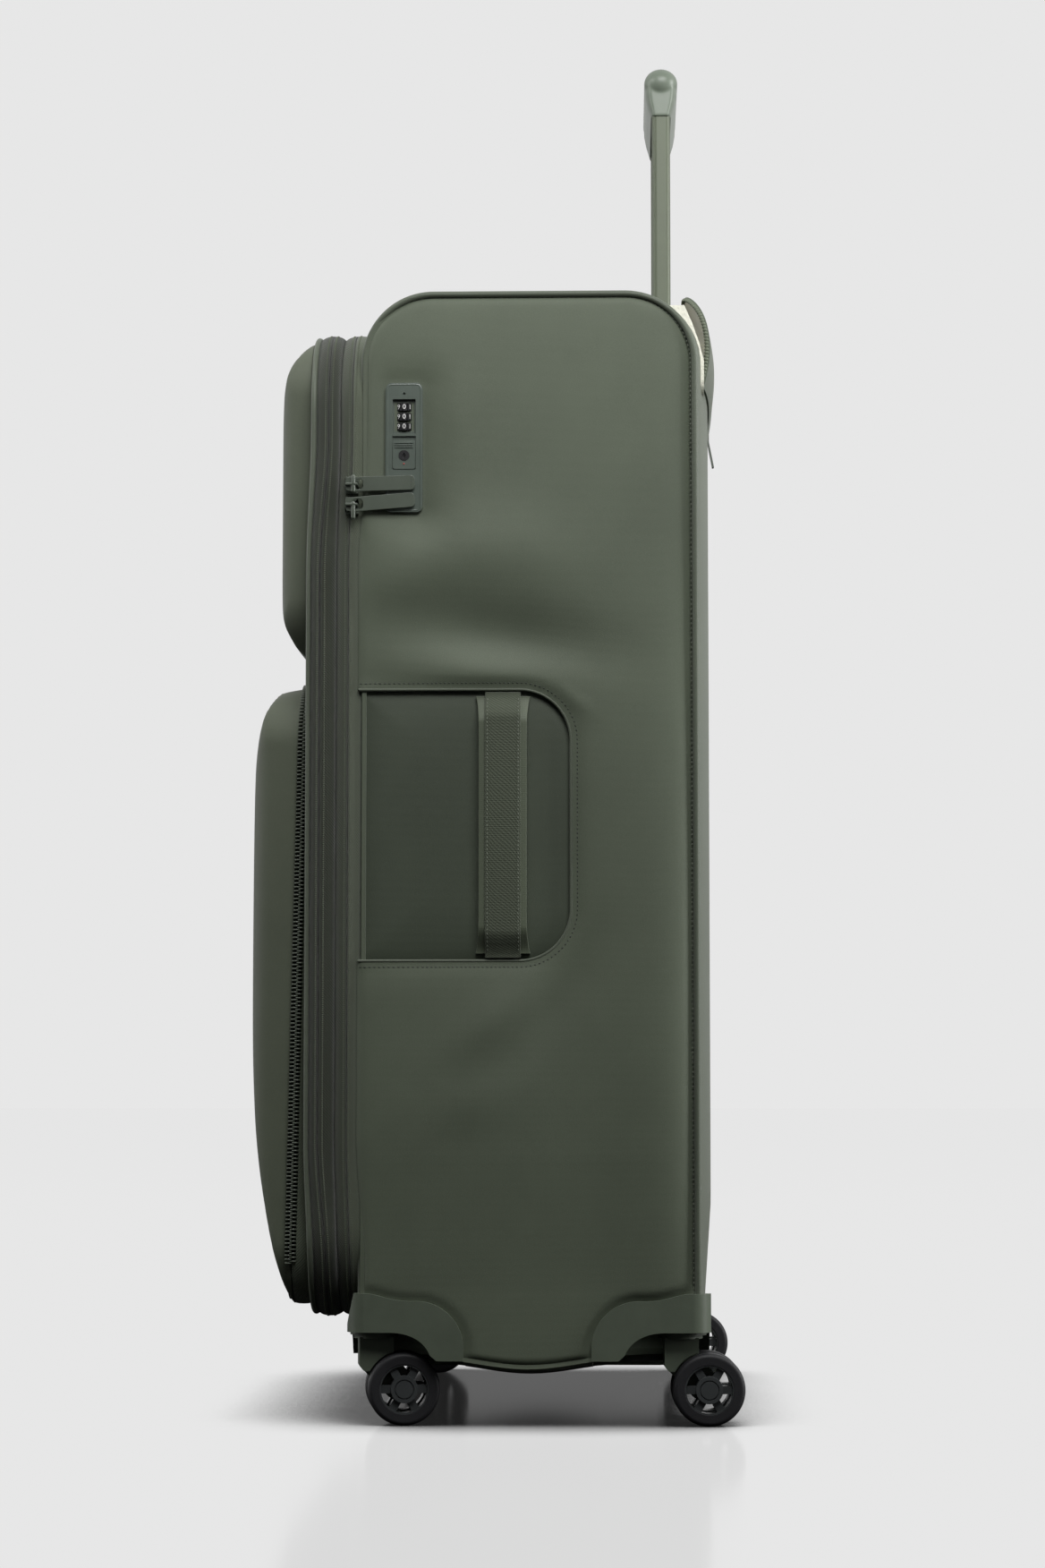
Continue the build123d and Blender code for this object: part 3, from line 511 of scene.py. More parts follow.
def woven_tape(name, colour, pitch=1.1 * MM, depth=0.22 * MM, tone=0.16):
    """Zip tape or webbing: two sets of threads crossing, along the piece's own UV map."""
    mat, tree, shader = material(name, 0.72, sheen=0.3, gloss=0.3)
    where = place_of(tree, "UV")
    weave = combine(tree, threads(tree, where, pitch, "DIAGONAL"), threads(tree, where, pitch * 0.8, "Y"))
    fibre = noise(tree, place_of(tree), 900.0, 2.0)
    mixed = combine(tree, combine(tree, weave, 0.32, "MULTIPLY"), combine(tree, fibre, 0.36, "MULTIPLY"))
    tree.links.new(two_tone(tree, mixed, *tones(colour, tone), 0.2, 0.8), shader.inputs["Base Color"])
    raise_by(tree, shader, combine(tree, weave, fibre), depth)
    return mat


olive = (0.094, 0.113, 0.078)
shell_cloth = knit_cloth("olive_shell_cloth", olive)
# The padded panel's cloth is darker than the shell cloth, partly as painted shade of its recess.
panel_cloth_painted_shade = knit_cloth("olive_padded_cloth_painted_shade", (0.060, 0.074, 0.051), rough=0.5)
pad_cloth = knit_cloth("olive_strap_pad", (0.090, 0.108, 0.072), rough=0.55, knit=1.0 * MM)
pocket_cloth = knit_cloth("olive_pocket_cloth", (0.088, 0.102, 0.070))
piping_cloth = knit_cloth("olive_piping_cloth", (0.092, 0.108, 0.079), rough=0.5, knit=1.2 * MM)
cream_fleece = fleece("cream_lining", (0.84, 0.83, 0.72))
# One zip tape in three copies: this lighter one is painted light, and the middle and front tapes below are darker as
# painted shade, for how light falls on each band.
zip_tape_painted_light = woven_tape("olive_zip_tape", (0.120, 0.140, 0.099), pitch=1.1 * MM)
middle_tape_painted_shade = woven_tape("olive_middle_tape", (0.066, 0.077, 0.054), pitch=1.1 * MM)
strap_webbing = woven_tape("olive_strap_webbing", (0.062, 0.074, 0.049), pitch=1.2 * MM, depth=0.12 * MM)
front_tape_painted_shade = woven_tape("olive_front_tape", (0.036, 0.042, 0.029), pitch=1.1 * MM)
lining_cloth = knit_cloth("dark_grey_lining", (0.13, 0.135, 0.12), rough=0.7, tone=0.08)


# %% [markdown]
# Hard surfaces share one recipe: a base colour that is rubbed a little lighter and darker, and a fine grain.
# Gloss, a clear coat and metal are set piece by piece.


# %% Plastic, metal and rubber
def moulded(name, colour, rough=0.42, grain=1700.0, depth=0.05 * MM, coat=0.0, metal=0.0, tone=0.07, gloss=0.5):
    """Moulded or painted hard surface with a fine spark-eroded grain and slight handling marks."""
    mat, tree, shader = material(name, rough, metal=metal, coat=coat, gloss=gloss)
    where = place_of(tree)
    fine = noise(tree, where, grain, 2.0)
    rub = noise(tree, where, 26.0, 5.0, 0.7)
    tree.links.new(two_tone(tree, rub, *tones(colour, tone)), shader.inputs["Base Color"])
    wear = spread(tree, rub, 0.0, 1.0, rough * 0.85, min(1.0, rough * 1.2))
    tree.links.new(wear, shader.inputs["Roughness"])
    raise_by(tree, shader, fine, depth)
    return mat


guard_plastic = moulded("olive_guard_plastic", (0.094, 0.114, 0.083), rough=0.42)
lock_paint = moulded("olive_lock_paint", (0.076, 0.097, 0.080), rough=0.32, coat=0.4, grain=2400.0, depth=0.02 * MM)
pull_paint = moulded("olive_pull_paint", (0.074, 0.090, 0.069), rough=0.32, coat=0.2, grain=2400.0, depth=0.02 * MM)
tooth_plastic = moulded("olive_zip_teeth", (0.080, 0.094, 0.070), rough=0.34, depth=0.01 * MM)
coil_plastic = moulded("olive_zip_coil", (0.145, 0.166, 0.120), rough=0.6, depth=0.01 * MM, gloss=0.3)
# Painted shade: near-black for the strips that stand for the shade in the pocket zip's gap.
black_painted_shade = moulded("zip_gap_painted_shade", (0.010, 0.012, 0.009), rough=0.8, depth=0.01 * MM, gloss=0.1)
thread = moulded("olive_thread", (0.125, 0.142, 0.110), rough=0.6, depth=0.02 * MM)
dark_thread = moulded("shadow_thread", (0.045, 0.052, 0.040), rough=0.7, depth=0.02 * MM)
tube_paint = moulded("olive_anodised_tube", (0.100, 0.118, 0.078), rough=0.46, metal=0.1, grain=700.0, depth=0.01 * MM)
grip_paint = moulded("olive_grip", (0.160, 0.190, 0.150), rough=0.38, gloss=0.4, coat=0.1, depth=0.02 * MM)
hub_plastic = moulded("charcoal_hub", (0.043, 0.047, 0.048), rough=0.33, depth=0.02 * MM)
tyre_rubber = moulded("black_tyre", (0.0125, 0.0125, 0.0145), rough=0.55, grain=900.0, depth=0.06 * MM, gloss=0.4)
dial_plastic = moulded("black_dial", (0.010, 0.010, 0.011), rough=0.35)
digit_white = moulded("white_digits", (0.82, 0.82, 0.80), rough=0.5, depth=0.01 * MM)
mark_red = moulded("red_mark", (0.45, 0.03, 0.025), rough=0.5, depth=0.01 * MM)
board_plastic = moulded("grey_inner_board", (0.14, 0.14, 0.13), rough=0.6)
steel = moulded("plain_steel", (0.52, 0.52, 0.51), rough=0.32, metal=1.0, grain=900.0, depth=0.01 * MM)
print(len(bpy.data.materials), "materials")


# %% [markdown]
# A finished piece gets its material, rides on the body that carries it, and stands in for its CAD solid.
# Small things that repeat, such as stitches, are modelled once and copied into one mesh.


# %% How a finished piece joins the frame
def dress(obj, mat):
    obj.data.materials.clear()
    obj.data.materials.append(mat)
    return obj


def join_frame(obj, body, mat, stands_for=()):
    dress(obj, mat)
    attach(obj, body)
    if stands_for:
        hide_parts(*stands_for)
    return obj


def copies(name, stamp, at, along, out):
    """One mesh of many copies of a small stamp: its X goes along, its Z out, each with its own points."""
    base = coords(stamp)
    at, along, out = (np.asarray(a, float) for a in (at, along, out))
    along /= np.linalg.norm(along, axis=1)[:, None]
    side = np.cross(out, along)
    side /= np.linalg.norm(side, axis=1)[:, None]
    up = np.cross(along, side)
    turn = np.stack([along, side, up], axis=2)
    points = np.einsum("nij,kj->nki", turn, base) + at[:, None, :]
    faces = [list(p.vertices) for p in stamp.data.polygons]
    step = len(base)
    every = [[i + k * step for i in face] for k in range(len(at)) for face in faces]
    mesh = bpy.data.meshes.new(name)
    mesh.from_pydata(points.reshape(-1, 3).tolist(), [], every)
    bpy.data.objects.remove(stamp)
    obj = bpy.data.objects.new(name, mesh)
    bpy.context.scene.collection.objects.link(obj)
    return smooth(obj)


def bead_stamp(long, wide, high):
    """A small rounded grain, for stitches and coil loops."""
    bpy.ops.object.select_all(action="DESELECT")
    bpy.ops.mesh.primitive_uv_sphere_add(segments=6, ring_count=4, radius=0.5)
    return shape(bpy.context.object, lambda co: co * (long, wide, high))


def together(name, *objs):
    """Several meshes joined under one name."""
    bpy.ops.object.select_all(action="DESELECT")
    for obj in objs:
        obj.select_set(True)
    bpy.context.view_layer.objects.active = objs[0]
    bpy.ops.object.join()
    objs[0].name = objs[0].data.name = name
    return objs[0]

# %% [markdown]
# The gusset is the long strip of cloth that runs over the top, down the back and under the case between
# the two side panels. It is drawn as a tube along the side seam, crowned across its width as stuffed cloth
# is, given a wall, and then cut open at the mouth, at the rear pocket and round the wheel housings.


# %% Gusset
def prism(track, start, end, inset=0.0, flat="xz", count=160):
    """A solid cutter with a track's outline, between two planes."""
    u = np.arange(count) / count
    a, b = track.at(u)
    oa, ob = track.out(u)
    a, b = a - oa * inset, b - ob * inset
    bpy.ops.object.select_all(action="DESELECT")
    bpy.ops.mesh.primitive_circle_add(vertices=count, fill_type="NGON")
    obj = bpy.context.object
    level = np.full(count, start)
    columns = {"xz": (a, level, b), "yz": (level, a, b), "xy": (a, b, level)}[flat]
    shape(obj, lambda co: np.column_stack(columns))
    push = [end - start if axis not in flat else 0 for axis in "xyz"]
    return in_edit(
        obj,
        lambda: bpy.ops.mesh.extrude_region_move(TRANSFORM_OT_translate={"value": push}),
        lambda: bpy.ops.mesh.select_all(action="SELECT"),
        lambda: bpy.ops.mesh.normals_make_consistent(inside=False),
    )


def crown_at(x):
    return crown * (1 - (np.abs(x) / half_w) ** 4)


seam_x = half_w - 1.2 * MM


def sag(y, z):
    """The bottom hangs a little between the wheel housings."""
    share = np.clip((y - mouth - 62 * MM) / (110 * MM), 0, 1)
    return -6 * MM * np.sin(math.pi * share) ** 1.5 * np.clip(1 - (z - seam_low) / (70 * MM), 0, 1)


def gusset_point(u, v):
    x = seam_x * (2 * edge_crowded(v) - 1)
    y, z = case_track.at(u)
    swell = crown_at(x)
    r = np.where(z < (seam_low + seam_top) / 2, base_r, top_r)
    to_back = np.clip((y - mouth - r) / (back - mouth - 2 * r), 0, 1)
    to_top = np.clip((z - seam_low - base_r) / (seam_top - seam_low - base_r - top_r), 0, 1)
    low_back = np.clip((160 * MM - z) / (65 * MM), 0, 1)
    ripple = 0.5 * MM * np.sin(9 * z / crown * MM * 2 + 5 * x) * (1 - (x / half_w) ** 2)
    y = y + (swell * (1 - 0.4 * low_back) + ripple) * to_back
    return x, y, z + swell * (2 * to_top - 1) + sag(y, z)


caster_x = 227 * MM
caster_front = mouth + 9.8 * MM
caster_rear = mouth + 224.2 * MM
housing_in = 62.0 * MM
arch_in = 50 * MM


def housing_cutters():
    cutters = []
    for near in (-1, 1):
        for y, inward in ((caster_front, 1), (caster_rear, -1)):
            for reach, top in ((housing_in, 45.2 * MM), (arch_in, 67 * MM)):
                xs = sorted((near * (caster_x - housing_in), near * (half_w + 30 * MM)))
                ys = sorted((y - inward * 60 * MM, y + inward * reach))
                cutters.append(box_cutter((xs[0], ys[0], -0.01), (xs[1], ys[1], top)))
    return cutters


rear_open_half = 222 * MM
rear_open_y = mouth + 197.5 * MM
rear_open_low = 738 * MM
gusset = cloth_grid("case_gusset", 260, 34, gusset_point, (case_track.length, 2 * half_w))
thicken(gusset, 3 * MM)
cut_away(
    gusset,
    prism(lid_track, mouth - 30 * MM, mouth + 60 * MM, inset=5 * MM),
    box_cutter((-rear_open_half, rear_open_y, rear_open_low), (rear_open_half, back + 0.1, 0.9)),
    *housing_cutters(),
)
smooth(gusset, 40)
join_frame(gusset, "case", shell_cloth, ["case_shell"])
print("gusset", len(gusset.data.polygons), "faces")

# %% [markdown]
# A side panel is one soft piece of knit over foam. It rolls down into the piping at its edge, swells a
# little in the middle, and is drawn out of flat by the seams round the carry-handle panel: it stands up
# just above that panel and again some way below it. Under the lock it lies flat.


# %% Side panels
def inside(a, b, a0, a1, b0, b1, radii):
    """How far points lie inside a rounded rectangle; less than 0 outside."""
    left, low = a < (a0 + a1) / 2, b < (b0 + b1) / 2
    r = np.select([left & low, ~left & low, ~left & ~low], radii[:3], radii[3])
    pa = np.abs(a - (a0 + a1) / 2) - (a1 - a0) / 2 + r
    pb = np.abs(b - (b0 + b1) / 2) - (b1 - b0) / 2 + r
    outer = np.hypot(np.maximum(pa, 0), np.maximum(pb, 0)) + np.minimum(np.maximum(pa, pb), 0)
    return r - outer


panel_radii = [2 * MM, 38 * MM, 38 * MM, 2 * MM]
panel_box = (mouth + 1 * MM, panel_high.y, panel_low.z, panel_high.z)
panel_track = Track(*panel_box, panel_radii)
lock_low, lock_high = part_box("lock_plate")


def fold(y, z, along_y, up_z, turn, long, wide, height):
    """A long soft swelling, or a hollow where height is below 0. Sizes are in millimetres from the mouth."""
    a, b = (y - mouth) / MM - along_y, z / MM - up_z
    c, s = math.cos(math.radians(turn)), math.sin(math.radians(turn))
    return height * MM * np.exp(-(((a * c + b * s) / long) ** 2) - ((b * c - a * s) / wide) ** 2)


side_folds = (
    (94, 527, -4, 50, 16, 3.4),
    (100, 553, -8, 66, 23, -6.6),
    (96, 616, -8, 62, 30, 3.4),
    (222, 300, 90, 230, 48, 4.6),
    (40, 600, 22, 48, 25, 3.8),
    (2, 572, 85, 44, 15, -1.6),
    (62, 714, 70, 28, 13, 1.4),
    (151, 507, -35, 14, 5, 0.9),
    (92, 280, 40, 38, 17, 3.0),
    (141, 302, 62, 44, 15, -2.8),
    (80, 226, 20, 36, 22, 1.8),
    (30, 190, 80, 80, 30, 1.1),
)


def eased_step(value, low, high):
    t = np.clip((value - low) / (high - low), 0, 1)
    return t * t * (3 - 2 * t)


def wander(x, y, z):
    """How far the soft mouth seam bows towards the front on the near side."""
    up = eased_step(z, 110 * MM, 200 * MM) * eased_step(-z, -700 * MM, -600 * MM)
    share = up * eased_step(x, 150 * MM, 235 * MM)
    places = np.array([front_y, chain_exp, split, chain_main, mouth + 2 * MM, mouth + 45 * MM])
    return share * np.interp(y, places, np.array([-2.8, -6.0, -2.5, -2.4, -5.6, 0]) * MM)


def wandering(obj):
    return shifted(obj, 1, wander)


guard_faces = []
for corner in ("front_near", "rear_near"):
    guard_mesh = nodes["corner_guard_" + corner].data
    guard_points = [v.co for v in guard_mesh.vertices]
    guard_faces.append(BVHTree.FromPolygons(guard_points, [p.vertices for p in guard_mesh.polygons]))


def from_guards(y, z):
    """Distances of points of the near side from its two corner guards."""
    found = np.full(len(y), 1.0)
    for i in np.flatnonzero(z < 140 * MM):
        found[i] = min(tree.find_nearest((half_w + 1.5 * MM, y[i], z[i]))[3] for tree in guard_faces)
    return found


def edge_roll(edge):
    """How the panel rolls down into its seam and swells inside it."""
    swell = 2.4 * MM * (1 - np.exp(-edge / (26 * MM)))
    return swell - 4.5 * MM * np.exp(-np.maximum(edge - 1.2 * MM, 0) / (2.0 * MM))


def side_lift(y, z):
    """How far the near panel stands out from its flat plane, in metres."""
    edge = inside(y, z, mouth, back, seam_low, seam_top, seam_radii)
    away = np.maximum(-inside(y, z, *panel_box, panel_radii), 0)
    folds = sum(fold(y, z, *f) for f in side_folds) - 1.2 * MM * np.exp(-((away / (14 * MM)) ** 2))
    sewn = 1 - 0.9 * np.exp(-((away / (4.5 * MM)) ** 2))
    from_lock = np.maximum(-inside(y, z, lock_low.y, lock_high.y, lock_low.z, lock_high.z, [4.5 * MM] * 4), 0)
    free = 1 - np.exp(-((from_lock / (17 * MM)) ** 2))
    drift = 0.4 * MM * np.sin(z / (70 * MM) + 1.0) * np.sin(y / (55 * MM))
    rolled = edge_roll(edge)
    inner = np.maximum(rolled, 0) * np.clip((z - 96 * MM) / (90 * MM), 0, 1)
    turned = -5.0 * MM * np.exp(-(back - y) / (9 * MM))
    tucked = -1.1 * MM * np.exp(-((from_lock / (7 * MM)) ** 2))
    loose = inner + turned + (folds + drift) * (1 - np.exp(-edge / (9 * MM)))
    lift = np.minimum(rolled, 0) + tucked + loose * free * sewn
    by_guard = np.exp(-((from_guards(y, z) / (3.6 * MM)) ** 2))
    return lift * (1 - by_guard) - 1.8 * MM * by_guard


panel_inset = 2.2 * MM


def side_panel(name, near):
    area = (mouth + panel_inset, back - panel_inset, seam_low + panel_inset, seam_top - panel_inset)
    radii = [r - panel_inset for r in seam_radii]

    def point(u, v):
        y, z = rounded(edge_crowded(u, 1.4), edge_crowded(v, 1.3), *area, radii)
        lift = side_lift(y, z)
        if near < 0:
            edge = inside(y, z, mouth, back, seam_low, seam_top, seam_radii)
            lift = edge_roll(edge)
        x = near * (half_w + lift)
        return x, y + wander(x, y, z), z + sag(y, z)

    obj = cloth_grid(name, 96, 260, point, (back - mouth, seam_top - seam_low))
    thicken(face_towards(obj, 0, near), 3 * MM)
    cutters = housing_cutters()
    if near > 0:
        hole = prism(panel_track, half_w - 20 * MM, half_w + 20 * MM, inset=0.6 * MM, flat="yz")
        cutters.append(wandering(hole))
    cut_away(obj, *cutters)
    smooth(obj, 40)
    return join_frame(obj, "case", shell_cloth, ["case_shell"])


for name, near in (("side_panel_near", 1), ("side_panel_far", -1)):
    obj = side_panel(name, near)
    print(name, len(obj.data.polygons), "faces")


# %% [markdown]
# Piping is a cord in a cloth sleeve, sewn into a seam. Each run is a thin tube along its track, and a row
# of stitches lies beside it. A stitch is modelled once as a small grain and copied along the seam.


# %% Piping and stitches
def seam_frame(track, u, level, inset, flat):
    """Points on a track with their outward and forward directions; level may depend on the outward one."""
    a, b = track.at(u)
    oa, ob = track.out(u)
    a, b = a - oa * inset, b - ob * inset
    level = level(oa, ob) if callable(level) else np.full_like(a, level)
    none = np.zeros_like(a)
    if flat == "yz":
        return np.column_stack([level, a, b]), np.column_stack([none, oa, ob]), np.column_stack([none, -ob, oa])
    return np.column_stack([a, level, b]), np.column_stack([oa, none, ob]), np.column_stack([-ob, none, oa])


def piping(name, track, level, inset, radius, flat, steps=420, span=(0, 1)):
    def point(u, v):
        at, out, along = seam_frame(track, span[0] + (span[1] - span[0]) * u, level, inset, flat)
        turn = 2 * math.pi * v[:, None]
        side = np.cross(out, along)
        return ((at + radius * (np.cos(turn) * out + np.sin(turn) * side)).T)

    obj = cloth_grid(name, steps, 10, point, (track.length, 2 * math.pi * radius))
    return smooth(obj)


def stitches(name, track, level, inset, flat, pitch, size, stand, span=(0, 1)):
    """A row of stitches on a track; stand is the direction that they face."""
    count = int(track.length * (span[1] - span[0]) / pitch)
    u = span[0] + (span[1] - span[0]) * (np.arange(count) + 0.5) / count
    at, out, along = seam_frame(track, u, level, inset, flat)
    by_caster = (at[:, 1] < caster_front + housing_in) | (at[:, 1] > caster_rear - housing_in)
    by_wheel = (at[:, 2] < 72 * MM) & by_caster
    at, along = at[~by_wheel], along[~by_wheel]
    return copies(name, bead_stamp(*size), at, along, np.tile(np.array(stand, float), (len(at), 1)))


pipe_r = 2.2 * MM
stitch_size = (2.1 * MM, 0.7 * MM, 0.6 * MM)


def sunk(near, level):
    """A seam's level on one side: it dips under the zip tape along the mouth and out of sight below."""

    def at(out_y, out_z):
        return near * (level - MM * (6 * np.clip(-out_y, 0, 1) ** 4 + 3 * np.clip(-out_z, 0, 1) ** 4))

    return at


for name, near in (("near", 1), ("far", -1)):
    pipe = piping("side_piping_" + name, case_track, sunk(near, half_w - 1 * MM), 0.2 * MM, pipe_r, "yz", 520)
    shifted(pipe, 2, lambda x, y, z: sag(y, z))
    cut_away(wandering(pipe), *housing_cutters())
    join_frame(smooth(pipe, 40), "case", piping_cloth, ["edge_piping"])
    sewn = stitches(
        "side_stitches_" + name, case_track, sunk(near, half_w - 1.4 * MM), 3.3 * MM, "yz", 3.4 * MM, stitch_size,
        (near, 0, 0),
    )
    shifted(sewn, 2, lambda x, y, z: sag(y, z))
    join_frame(wandering(sewn), "case", thread)
panel_span = (panel_track.share[32], panel_track.share[99])
panel_pipe = piping("handle_panel_piping", panel_track, half_w - 0.5 * MM, 1.5 * MM, 1.1 * MM, "yz", 260, panel_span)
join_frame(wandering(panel_pipe), "case", piping_cloth, ["edge_piping"])
panel_sewn = stitches(
    "handle_panel_stitches", panel_track, half_w + 0.05 * MM, -2.9 * MM, "yz", 3.0 * MM,
    (1.9 * MM, 1.0 * MM, 0.7 * MM), (1, 0, 0), panel_span,
)
shifted(panel_sewn, 0, lambda x, y, z: side_lift(y, z))
join_frame(wandering(panel_sewn), "case", dark_thread)
print("piping done")

# %% [markdown]
# The carry handle has three layers: a padded panel let into the side, a broad pad that arches off it for
# the fingers, and a narrower webbing sewn on the pad. The pad and the webbing are strips that follow one
# arch. At their ends they lie flat and are stitched down.


# %% Carry handle
def handle_panel_point(u, v):
    edge = 0.4 * MM
    area = (panel_box[0] + edge, panel_box[1] - edge, panel_box[2] + edge, panel_box[3] - edge)
    y, z = rounded(edge_crowded(u), edge_crowded(v), *area, [r - edge for r in panel_radii])
    deep = inside(y, z, *panel_box, panel_radii)
    puff = 2.6 * MM * (1 - np.exp(-deep / (16 * MM)))
    return panel_high.x - 0.6 * MM + puff - 0.8 * MM * np.exp(-deep / (3 * MM)), y + wander(half_w, y, z), z


handle_panel = cloth_grid(
    "handle_panel_cloth", 64, 84, handle_panel_point, (panel_box[1] - panel_box[0], panel_box[3] - panel_box[2])
)
thicken(smooth(face_towards(handle_panel, 0, 1, middle=False)), 3 * MM)
join_frame(handle_panel, "case", panel_cloth_painted_shade, ["handle_panel"])

pad_low, pad_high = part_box("carry_handle_pad")
strap_low, strap_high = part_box("carry_handle_webbing")
strap_y = (pad_low.y + pad_high.y) / 2
pad_half = (pad_high.y - pad_low.y) / 2
strap_half = (strap_high.y - strap_low.y) / 2
arch_run = 19 * MM


def arch(z, low_x, high_x, start, end):
    """Height of the strap above the panel: an S at each end and a gentle bow between."""
    rise = np.clip(np.minimum(z - start, end - z) / arch_run, 0, 1)
    rise = rise * rise * (3 - 2 * rise)
    bow = np.sin(np.pi * np.clip((z - start) / (end - start), 0, 1))
    return low_x + (high_x - low_x) * (0.9 * rise + 0.1 * bow)


def strip(name, start, end, half, flare, low_x, high_x, wall, bulge, across=16, up=150):
    def point(u, v):
        z = start + (end - start) * edge_crowded(v, 1.3)
        from_end = np.minimum(z - start, end - z)
        width = half + flare * np.exp(-from_end / (7 * MM))
        side = 2 * edge_crowded(u, 1.5) - 1
        x = arch(z, low_x, high_x, start, end) + bulge * (1 - side ** 4)
        return x, strap_y + width * side, z

    obj = cloth_grid(name, across, up, point, (2 * half, end - start))
    thicken(face_towards(obj, 0, 1), wall)
    ease = obj.modifiers.new("ease", "BEVEL")
    ease.width = 0.3 * wall
    ease.segments = 2
    ease.limit_method = "ANGLE"
    ease.angle_limit = math.radians(50)
    apply_all(obj)
    return smooth(obj, 40)


pad_top_x = pad_high.x
pad = strip(
    "strap_pad", pad_low.z, pad_high.z, pad_half - 1.5 * MM, 2.5 * MM, pad_low.x + 3.4 * MM, pad_top_x,
    3.2 * MM, 0.3 * MM,
)
join_frame(pad, "case", pad_cloth, ["carry_handle_pad"])
face = strip(
    "strap_webbing_face",
    strap_low.z,
    strap_high.z,
    strap_half,
    0,
    pad_low.x + 3.4 * MM + 1.9 * MM,
    pad_top_x + 1.9 * MM,
    1.8 * MM,
    0.2 * MM,
)
join_frame(face, "case", strap_webbing, ["carry_handle_webbing"])


def strap_row(name, side, start, end, low_x, high_x, pitch):
    """Stitches along a strap at a distance from its middle line."""
    count = int((end - start) / pitch)
    z = start + (end - start) * (np.arange(count) + 0.5) / count
    x = arch(z, low_x, high_x, strap_low.z, strap_high.z) + 0.15 * MM
    at = np.column_stack([x, np.full(count, strap_y + side), z])
    along = np.gradient(at, axis=0)
    out = np.cross(np.tile((0.0, 1.0, 0.0), (count, 1)), along)
    return copies(name, bead_stamp(2.0 * MM, 0.7 * MM, 0.5 * MM), at, along, out)


rows = [
    strap_row(
        "row", side, strap_low.z + 4 * MM, strap_high.z - 4 * MM, pad_low.x + 5.3 * MM, pad_top_x + 1.9 * MM, 2.8 * MM
    )
    for side in (-strap_half + 1.6 * MM, strap_half - 1.6 * MM)
]
join_frame(together("strap_stitches", *rows), "case", thread)
print("carry handle done")

# %% [markdown]
# The zip runs round the lid in two chains. Between and beside them lie four bands of cloth tape: one is
# sewn to the case, two belong to the lid and one to the front panel. The tapes of a chain form one soft
# roll with the chain on its crest, and a deep groove parts the two rolls. A band's section is drawn as
# height over the lid's outline and carried round it. The coil shows as two rows of small loops.


# %% Zip bands
def lid_bow(x, z):
    """The stuffed lid bows out a little along its top and its bottom."""
    return 2.6 * MM * (1 - (np.abs(x) / lid_half) ** 4) * np.where(z > 0.4, 1.0, -0.6)


def ring(name, section, steps=300, track=None, bow=True, skew=None):
    """A closed band: section is a list of (y, height over the outline)."""
    track = track or lid_track
    section = np.array(section + section[:1], float)
    run = np.concatenate([[0], np.cumsum(np.hypot(*np.diff(section, axis=0).T))])
    around = run[-1]
    run = run / around

    def point(u, v):
        a, b = track.at(u)
        oa, ob = track.out(u)
        y = np.interp(v, run, section[:, 0])
        lift = np.interp(v, run, section[:, 1])
        if skew is not None:
            y = y + skew(a, b, y)
        x, z = a + oa * lift, b + ob * lift
        if not bow:
            return x, y, z
        return x, y + wander(x, y, z), z + lid_bow(x, z)

    rows = np.linspace(0, 1, len(run))
    obj = cloth_grid(
        name, steps, len(section) - 1, lambda u, v: point(u, np.interp(v, rows, run)), (track.length, around)
    )
    return smooth(obj, 50)


def roll(y, start, end, crest=2.3 * MM, foot=-2.4 * MM):
    """Height of a soft roll that spans start to end."""
    t = np.clip((2 * np.asarray(y) - start - end) / (end - start), -1, 1)
    return foot + (crest - foot) * (1 - t * t) ** 0.42


def band_section(y0, y1, start, end, points=12):
    """The part of a roll from y0 to y1, closed underneath."""
    y = y0 + (y1 - y0) * 0.5 * (1 - np.cos(np.pi * np.linspace(0, 1, points)))
    outer = list(zip(y, roll(y, start, end)))
    return outer + [(y1, -3.2 * MM), ((y0 + y1) / 2, -3.2 * MM), (y0, -3.2 * MM)]


def coil_row(name, y, lift, pitch, size):
    count = int(lid_track.length / pitch)
    u = (np.arange(count) + 0.5) / count
    at, out, along = seam_frame(lid_track, u, y, -lift, "xz")
    at[:, 1] += wander(*at.T)
    at[:, 2] += lid_bow(at[:, 0], at[:, 2])
    return copies(name, bead_stamp(*size), at, along, out)


slit = 0.25 * MM
coil_size = (0.85 * MM, 1.25 * MM, 0.8 * MM)
coil_pitch = 1.42 * MM
coil_apart = 2.4 * MM
front_roll = (front_y + 4.2 * MM, split)
rear_roll = (split, mouth + 5.8 * MM)
# Painted light and shade: the case band wears the lighter tape copy, the lid's rear band a darker one and the two front
# bands the darkest, for how light falls on them.
bands = (
    ("zip_band_case", "case", chain_main + slit, mouth + 4.8 * MM, rear_roll, zip_tape_painted_light, ["main_zip_case_half"]),
    ("zip_band_lid_rear", "lid", split + 0.05 * MM, chain_main - slit, rear_roll, middle_tape_painted_shade, ["lid_band"]),
    ("zip_band_lid_front", "lid", chain_exp + slit, split - 0.05 * MM, front_roll, front_tape_painted_shade, ["lid_band"]),
    (
        "zip_band_front", "front", front_roll[0] + 0.05 * MM, chain_exp - slit, front_roll, front_tape_painted_shade,
        ["expander_zip_half"],
    ),
)
for name, body, y0, y1, span, mat, stands_for in bands:
    obj = ring(name, band_section(y0, y1, *span))
    join_frame(obj, body, mat, stands_for)
for name, body, y, span in (
    ("main_coil_case", "case", chain_main + coil_apart, rear_roll),
    ("main_coil_lid", "lid", chain_main - coil_apart, rear_roll),
    ("expander_coil_lid", "lid", chain_exp + coil_apart, front_roll),
    ("expander_coil_front", "front", chain_exp - coil_apart, front_roll),
):
    obj = coil_row(name, y, float(roll(y, *span)) + 0.05 * MM, coil_pitch, coil_size)
    join_frame(obj, body, coil_plastic)
